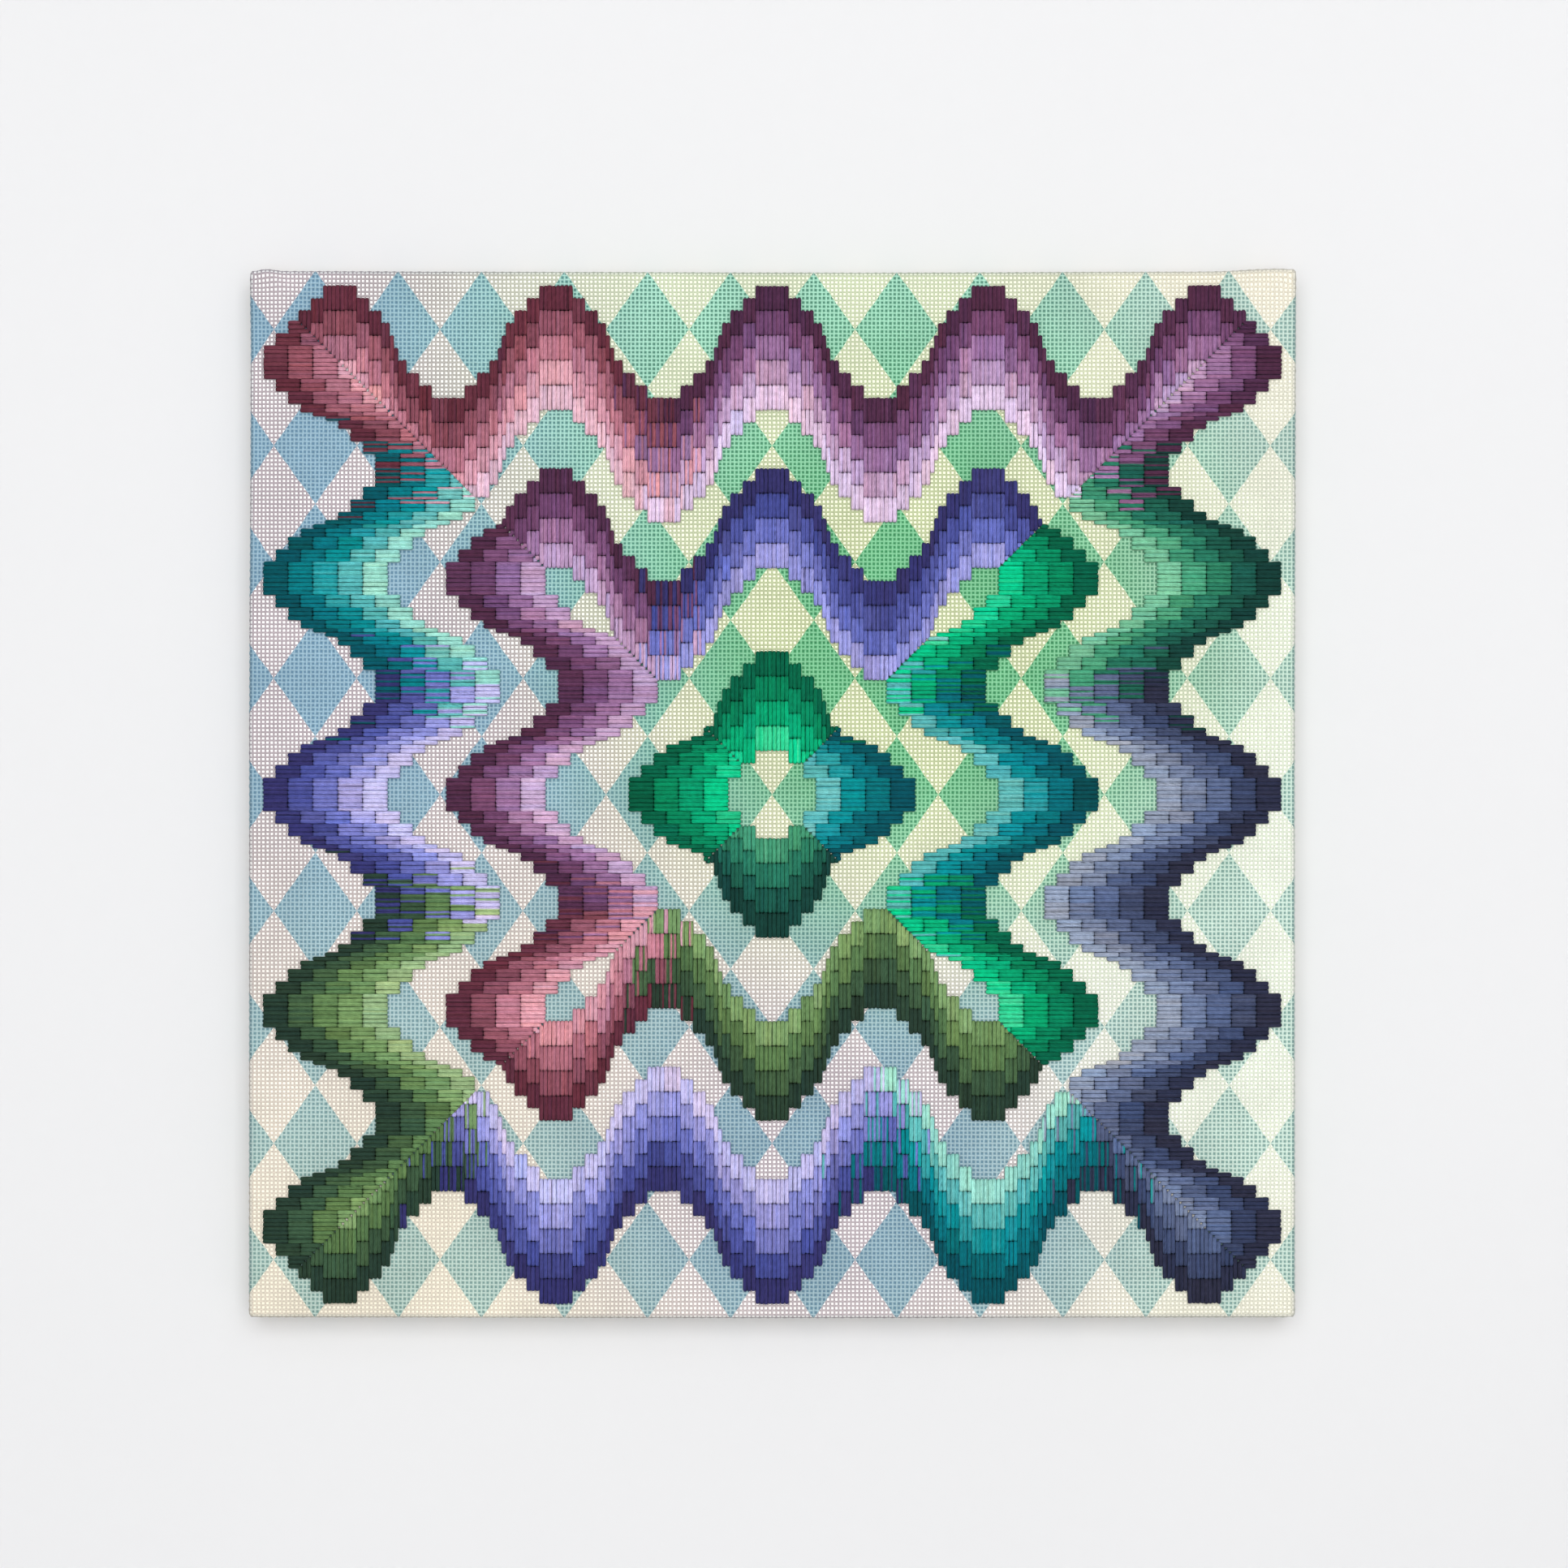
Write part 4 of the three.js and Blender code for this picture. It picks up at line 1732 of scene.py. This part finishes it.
@dataclass
class MeshThreads:
    """The woven threads of the canvas that show: over the front, the folds and the sides."""

    lay: CanvasLay
    under_wool: np.ndarray
    seed: int = SEED
    width: float = 0.9
    ridge_over: float = 0.5
    ridge_under: float = 0.16
    ridge_between: float = 0.4
    ridge_end: float = 0.02
    ridge_wander: float = 0.02
    foot: float = -0.03
    last_side: int = 136
    past_fold: float = 1.5
    fold_inset: float = 0.6
    lay_wander: float = 0.05
    slow_wander: float = 0.14
    slow_turns: tuple[float, ...] = (1.0, 2.3, 4.1)
    calm_width: float = 20.0
    # Painted shade of the threads: lighter at raised crossings, darker at their feet and low crossings.
    foot_light: float = 0.74
    low_light: float = 0.84
    crown_gain: float = 0.28

    def stations(self) -> tuple[np.ndarray, np.ndarray]:
        """Lists the places along a thread that runs over the front and down two sides.

        Returns:
            The flat places, and the number of the crossing thread or a half number between two.
        """
        numbers = np.arange(-self.last_side, self.last_side + 1, dtype=float)
        places = numbers * PITCH
        fold = self.lay.flat_half + self.lay.fold_length / 2
        last = self.lay.back_start + self.past_fold
        at_fold, at_last = HALF_THREADS - 0.5, self.last_side + 0.5
        places = np.concatenate([places, [fold, -fold, last, -last]])
        numbers = np.concatenate([numbers, [at_fold, -at_fold, at_last, -at_last]])
        order = np.argsort(places)
        return places[order], numbers[order]

    def ridge(
        self, thread: np.ndarray, crossing: np.ndarray, warp: bool, random: np.random.Generator
    ) -> np.ndarray:
        """Gives the height of a thread's ridge where it crosses another.

        Args:
            thread: The thread's number.
            crossing: The number of the thread that it crosses.
            warp: Whether it is an upright thread.
            random: Random numbers for its unevenness.

        Returns:
            Heights in millimetres.
        """
        between = np.abs(crossing % 1 - 0.5) < 0.1
        even = np.mod(np.rint(thread + crossing), 2) == 0
        over = even if warp else ~even
        height = np.where(over, self.ridge_over, self.ridge_under)
        height = np.where(between, self.ridge_between, height)
        height = np.where(np.abs(crossing) > self.last_side, self.ridge_end, height)
        return height + random.normal(0, self.ridge_wander, height.shape)

    def long_threads(self, warp: bool, random: np.random.Generator) -> tuple[np.ndarray, ...]:
        """Draws the threads that cross the front.

        Args:
            warp: Whether they are the upright ones.
            random: Random numbers for their unevenness.

        Returns:
            Grids of the thread's place, the place along it, the ridge height, and which
            stretches show.
        """
        threads = np.arange(-HALF_THREADS + 1, HALF_THREADS)
        places, numbers = self.stations()
        thread, along = np.meshgrid(threads.astype(float), places, indexing="ij")
        _, crossing = np.meshgrid(threads, numbers, indexing="ij")
        ridge = self.ridge(thread, crossing, warp, random)
        drift = random.normal(0, self.lay_wander, (len(threads), 1))
        drift = drift + self.slow_drift(thread.shape, random)
        calm = np.clip((self.lay.flat_half - np.abs(along)) / self.calm_width, 0, 1)
        place = thread * PITCH + drift * calm
        shown = np.ones((len(threads), len(places) - 1), dtype=bool)
        for number, begin in enumerate(numbers[:-1]):
            cell = math.floor(begin)
            if -HALF_THREADS < cell < HALF_THREADS - 1:
                shown[:, number] = ~self.hidden(threads, cell, warp)
        return place, along, ridge, shown

    def hidden(self, threads: np.ndarray, cell: int, warp: bool) -> np.ndarray:
        """Tells which threads are under wool all round, in one cell along them."""
        margin = HALF_THREADS + BARE_MARGIN
        under = self.under_wool if warp else self.under_wool.T
        result = np.ones(len(threads), dtype=bool)
        for beside in (-1, 0):
            for along in (-1, 0, 1):
                result &= under[threads + beside + margin, cell + along + margin]
        return result

    def side_threads(self, warp: bool, random: np.random.Generator) -> tuple[np.ndarray, ...]:
        """Draws the threads that run along the folds and round the sides.

        Args:
            warp: Whether they are the upright ones, on the left and right sides.
            random: Random numbers for their unevenness.

        Returns:
            The same grids as long_threads gives.
        """
        outer = np.arange(HALF_THREADS, self.last_side + 1)
        threads = np.concatenate([-outer[::-1], outer]).astype(float)
        reach = self.lay.flat_half
        numbers = np.arange(-HALF_THREADS + 1, HALF_THREADS, dtype=float)
        inner, at_fold = reach - self.fold_inset, HALF_THREADS - 0.5
        places = np.concatenate([[-reach, -inner], numbers * PITCH, [inner, reach]])
        numbers = np.concatenate([[-at_fold, -at_fold], numbers, [at_fold, at_fold]])
        order = np.argsort(places)
        thread, along = np.meshgrid(threads, places[order], indexing="ij")
        _, crossing = np.meshgrid(threads, numbers[order], indexing="ij")
        ridge = self.ridge(thread, crossing, warp, random)
        shown = np.ones((len(threads), len(places) - 1), dtype=bool)
        return thread * PITCH, along, ridge, shown

    def slow_drift(self, shape: tuple[int, int], random: np.random.Generator) -> np.ndarray:
        """Makes slow waves in the lay of the threads, in millimetres."""
        rows, columns = shape
        along = np.linspace(0, 1, columns)[None]
        side = np.linspace(0, 1, rows)[:, None]
        wave = np.zeros(shape)
        for turns in self.slow_turns:
            phase, lean = random.uniform(0, math.tau), random.uniform(-2, 2)
            wave = wave + np.sin(math.tau * (turns * along + lean * side) + phase) / (1 + turns)
        return self.slow_wander * wave

    def strips(
        self, grids: tuple[np.ndarray, ...], warp: bool, base: int
    ) -> tuple[np.ndarray, ...]:
        """Makes the strips of threads: a foot, a ridge and a foot along each.

        Args:
            grids: Places, ridge heights and which stretches show.
            warp: Whether they are the upright ones.
            base: The number of the first point.

        Returns:
            The points, polygons, map and the light of each point.
        """
        place, along, ridge, shown = grids
        half = self.width / 2
        offsets = np.array([-half, 0.0, half])
        lateral = place[:, :, None] + offsets
        run = np.broadcast_to(along[:, :, None], lateral.shape)
        foot = np.full(ridge.shape, self.foot)
        height = np.stack([foot, ridge, foot], axis=-1)
        across, up = (lateral, run) if warp else (run, lateral)
        points = self.lay.place(across, up, height).reshape(-1, 3)
        places = flat_map(across, up).reshape(-1, 2)
        # Painted shade: the crown of each thread is lighter where it rides over a crossing, and its feet are
        # darker.
        raised = np.clip((ridge - self.ridge_under) / (self.ridge_over - self.ridge_under), 0, 1)
        crown = self.low_light + self.crown_gain * raised
        edge = np.full(ridge.shape, self.foot_light)
        light = np.stack([edge, crown, edge], axis=-1).reshape(-1, 1) * np.ones(3)
        number = np.arange(lateral.size).reshape(lateral.shape)
        pieces = []
        for lane in (0, 1):
            here, there = number[:, :-1, lane], number[:, 1:, lane]
            here_next, there_next = number[:, :-1, lane + 1], number[:, 1:, lane + 1]
            quads = np.stack([here, here_next, there_next, there], axis=-1)[shown]
            pieces.append(quads if warp else quads[:, ::-1])
        quads = np.concatenate(pieces)
        return points, quads + base, places[quads], light

    def build(self, warp: bool, material: bpy.types.Material) -> bpy.types.Object:
        """Builds the upright or the level threads as one joined mesh.

        Args:
            warp: Whether they are the upright ones.
            material: The painted thread material.

        Returns:
            The new piece.
        """
        random = np.random.default_rng([self.seed, int(warp)])
        points, polygons, places, lights = [], [], [], []
        base = 0
        for grids in (self.long_threads(warp, random), self.side_threads(warp, random)):
            strip_points, strip_quads, strip_places, strip_light = self.strips(grids, warp, base)
            lights.append(strip_light)
            points.append(strip_points)
            polygons.append(strip_quads)
            places.append(strip_places)
            base += len(strip_points)
        quads = np.concatenate(polygons)
        used, renumbered = np.unique(quads, return_inverse=True)
        made = piece_from_arrays(
            "upright_threads" if warp else "level_threads",
            np.concatenate(points)[used],
            [renumbered.reshape(quads.shape)],
            [CornerMap(BAKE_MAP, [np.concatenate(places)])],
            np.concatenate(lights)[used],
        )
        made.data.materials.append(material)
        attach(made, "root")
        return made


# The wooden frame


@dataclass
class StretcherFrame:
    """Four mitred pine bars with a raised lip on the outer edge."""

    width: float = 38.0
    lip_width: float = 9.0
    slope_width: float = 4.0
    inner_drop: float = 2.2
    back: float = 1.3
    front: float = 19.2
    outer: float = HALF - 2.0
    mitre_gap: float = 0.15 * math.sqrt(2)
    rounding: float = 0.6
    rounded_from: float = 20.0
    soft_edge: float = 25.0

    def top_bar(self) -> bpy.types.Object:
        """Shapes the top bar of a block: the lip, the slope and the two mitred ends.

        Returns:
            The bar, with its place in its mesh.
        """
        bpy.ops.object.select_all(action="DESELECT")
        middle = (0.0, -(self.back + self.front) / 2000, (self.outer - self.width / 2 - HALF) / 1000)
        size = (2 * self.outer / 1000, (self.front - self.back) / 1000, self.width / 1000)
        bpy.ops.mesh.primitive_cube_add(size=1, location=middle, scale=size)
        made = bpy.context.active_object
        bpy.ops.object.transform_apply(location=True, rotation=True, scale=True)
        bpy.ops.object.mode_set(mode="EDIT")
        for cut in (self.lip_width, self.lip_width + self.slope_width):
            bpy.ops.mesh.select_all(action="SELECT")
            level = (self.outer - cut - HALF) / 1000
            bpy.ops.mesh.bisect(plane_co=(0, 0, level), plane_no=(0, 0, 1))
        slope_foot = (self.outer - self.lip_width - self.slope_width - HALF + 0.01) / 1000
        front_face = (0.01 - self.front) / 1000
        pick_points(made, lambda place: place.z < slope_foot and place.y < front_face)
        bpy.ops.transform.translate(value=(0, self.inner_drop / 1000, 0))
        for sign in (-1, 1):
            bpy.ops.mesh.select_all(action="SELECT")
            corner = (sign * (self.outer - self.mitre_gap) / 1000, 0, (self.outer - HALF) / 1000)
            bpy.ops.mesh.bisect(
                plane_co=corner, plane_no=(sign, 0, -1), use_fill=True, clear_outer=True
            )
        bpy.ops.mesh.select_all(action="SELECT")
        bpy.ops.mesh.normals_make_consistent(inside=False)
        bpy.ops.object.mode_set(mode="OBJECT")
        edge = made.modifiers.new("eased edges", "BEVEL")
        edge.width = self.rounding / 1000
        edge.segments = 2
        edge.limit_method = "ANGLE"
        edge.angle_limit = math.radians(self.rounded_from)
        apply_modifiers(made)
        bpy.ops.object.shade_smooth_by_angle(angle=math.radians(self.soft_edge))
        return made

    def build(self) -> list[bpy.types.Object]:
        """Builds the four bars, the last three as turned copies of the first."""
        first = self.top_bar()
        centre = Matrix.Translation((0, 0, -HALF / 1000))
        pines = {grain: PineFinish(grain).material() for grain in Grain}
        made = []
        for side in Side:
            bar = first if side is Side.TOP else first.copy()
            if side is not Side.TOP:
                bar.data = first.data.copy()
                bpy.context.scene.collection.objects.link(bar)
            made.append(bar)
        for side, bar in zip(Side, made):
            name = side.name.lower()
            turn = Matrix.Rotation(side.value * math.pi / 2, 4, "Y")
            bar.data.transform(centre @ turn @ centre.inverted())
            bar.name = bar.data.name = f"bar_{name}"
            grain = Grain.ACROSS if side in (Side.TOP, Side.BOTTOM) else Grain.UPRIGHT
            bar.data.materials.clear()
            bar.data.materials.append(pines[grain])
            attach(bar, "root")
            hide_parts(f"stretcher_bar_{name}")
        return made


# The stage


class Lamp(NamedTuple):
    """One soft lamp: its place and its width and height in metres, and its power in watts."""

    name: str
    place: tuple[float, float, float]
    size: tuple[float, float]
    power: float


LAMPS: tuple[Lamp, ...] = (
    Lamp("window light", (0.45, -2.5, 1.15), (2.6, 2.2), 12.0),
    Lamp("room light", (0.0, -3.4, 0.15), (3.0, 3.0), 90.0),
    Lamp("back room light", (0.8, 2.6, 1.2), (2.4, 2.0), 36.0),
)


@dataclass
class Studio:
    """The pale wall and floor, the soft light and the camera."""

    wall_gap: float = 0.0006
    wall_size: float = 6.0
    wall_paint: tuple[int, int, int] = (227, 227, 228)
    floor_level: float = -0.95
    floor_size: float = 8.0
    floor_paint: tuple[int, int, int] = (206, 205, 203)
    fields: int = 4
    room_colour: Colour = (0.97, 0.98, 1.0)
    room_strength: float = 0.46
    camera_distance: float = 1.6185
    camera_shift: tuple[float, float] = (0.0052, 0.0046)
    lens: float = 84.0
    sensor: float = 36.0

    def backdrop(self) -> None:
        """Makes the wall and the floor, of planes cut into a few fields."""
        level = (0, self.wall_gap, self.floor_level + self.wall_size / 2)
        wall = self.plane("pale_wall", self.wall_size, level, math.pi / 2)
        paint = StudioPaint("wall paint", self.wall_paint, clear_behind=True)
        wall.data.materials.append(paint.material())
        wall.visible_shadow = False
        floor = self.plane("pale_floor", self.floor_size, (0, 0, self.floor_level), 0.0)
        floor.data.materials.append(StudioPaint("floor paint", self.floor_paint).material())

    def plane(self, name: str, size: float, middle: Sequence[float], tilt: float) -> bpy.types.Object:
        """Lays one plane of the stage.

        Args:
            name: Its name.
            size: Its width in metres.
            middle: Its middle, in metres.
            tilt: Its turn about the X axis, in radians.

        Returns:
            The plane, with its place in its mesh.
        """
        bpy.ops.object.select_all(action="DESELECT")
        bpy.ops.mesh.primitive_grid_add(
            x_subdivisions=self.fields, y_subdivisions=self.fields, size=size,
            location=middle, rotation=(tilt, 0, 0),
        )
        made = bpy.context.active_object
        made.name = name
        bpy.ops.object.transform_apply(location=True, rotation=True, scale=True)
        return made

    def hang(self, lamp: Lamp) -> None:
        """Hangs one soft lamp that points at the panel's middle."""
        light = bpy.data.lights.new(lamp.name, "AREA")
        light.shape = "RECTANGLE"
        light.size, light.size_y = lamp.size
        light.energy = lamp.power
        hung = bpy.data.objects.new(lamp.name, light)
        hung.location = lamp.place
        aim = Vector((0, 0, -HALF / 1000)) - Vector(lamp.place)
        hung.rotation_euler = aim.to_track_quat("-Z", "Y").to_euler()
        hung.visible_camera = False
        bpy.context.scene.collection.objects.link(hung)

    def build(self) -> None:
        """Sets up the whole stage."""
        scene = bpy.context.scene
        self.backdrop()
        for lamp in LAMPS:
            self.hang(lamp)
        world = bpy.data.worlds.new("pale room")
        world.use_nodes = True
        room = world.node_tree.nodes["Background"]
        room.inputs["Color"].default_value = (*self.room_colour, 1.0)
        room.inputs["Strength"].default_value = self.room_strength
        scene.world = world
        scene.view_settings.view_transform = "Standard"
        scene.view_settings.look = "None"
        lens = bpy.data.cameras.new("camera")
        lens.lens = self.lens
        lens.sensor_width = self.sensor
        camera = bpy.data.objects.new("camera", lens)
        across, up = self.camera_shift
        camera.location = (across, -self.camera_distance, up - HALF / 1000)
        camera.rotation_euler = (math.pi / 2, 0, 0)
        scene.collection.objects.link(camera)
        scene.camera = camera


def dress_panel() -> None:
    """Builds every piece of the panel."""
    lay = CanvasLay()
    chart = StitchChart()
    waves = chart.waves()
    mitre_sum = lay.back_start + lay.flat_half
    painted = CanvasPaint("painted canvas", False, mitre_sum).material()
    threads_painted = CanvasPaint("painted threads", True, mitre_sum).material()
    sheet = CanvasSheet(lay).build(painted, RawCanvasFinish().material())
    LOG.info("canvas sheet: %d faces", len(sheet.data.polygons))
    threads = MeshThreads(lay, chart.covered(waves))
    cloth = [threads.build(warp, threads_painted) for warp in (True, False)]
    for piece in cloth:
        LOG.info("%s: %d faces", piece.name, len(piece.data.polygons))
    wool = {family: finish.material() for family, finish in WOOLS.items()}
    work = WoolWork(lay)
    stitched = [work.work(wave, wool[wave.family]) for wave in waves]
    LOG.info("%d waves, %d stitches", len(stitched), sum(len(wave.stitches) for wave in waves))
    bars = StretcherFrame().build()
    LOG.info("%d bars of %d faces", len(bars), len(bars[0].data.polygons))


def main() -> None:
    """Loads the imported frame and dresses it."""
    logging.basicConfig(level=logging.INFO, format="%(name)s: %(message)s")
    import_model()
    dress_panel()
    Studio().build()


if __name__ == "__main__":
    main()
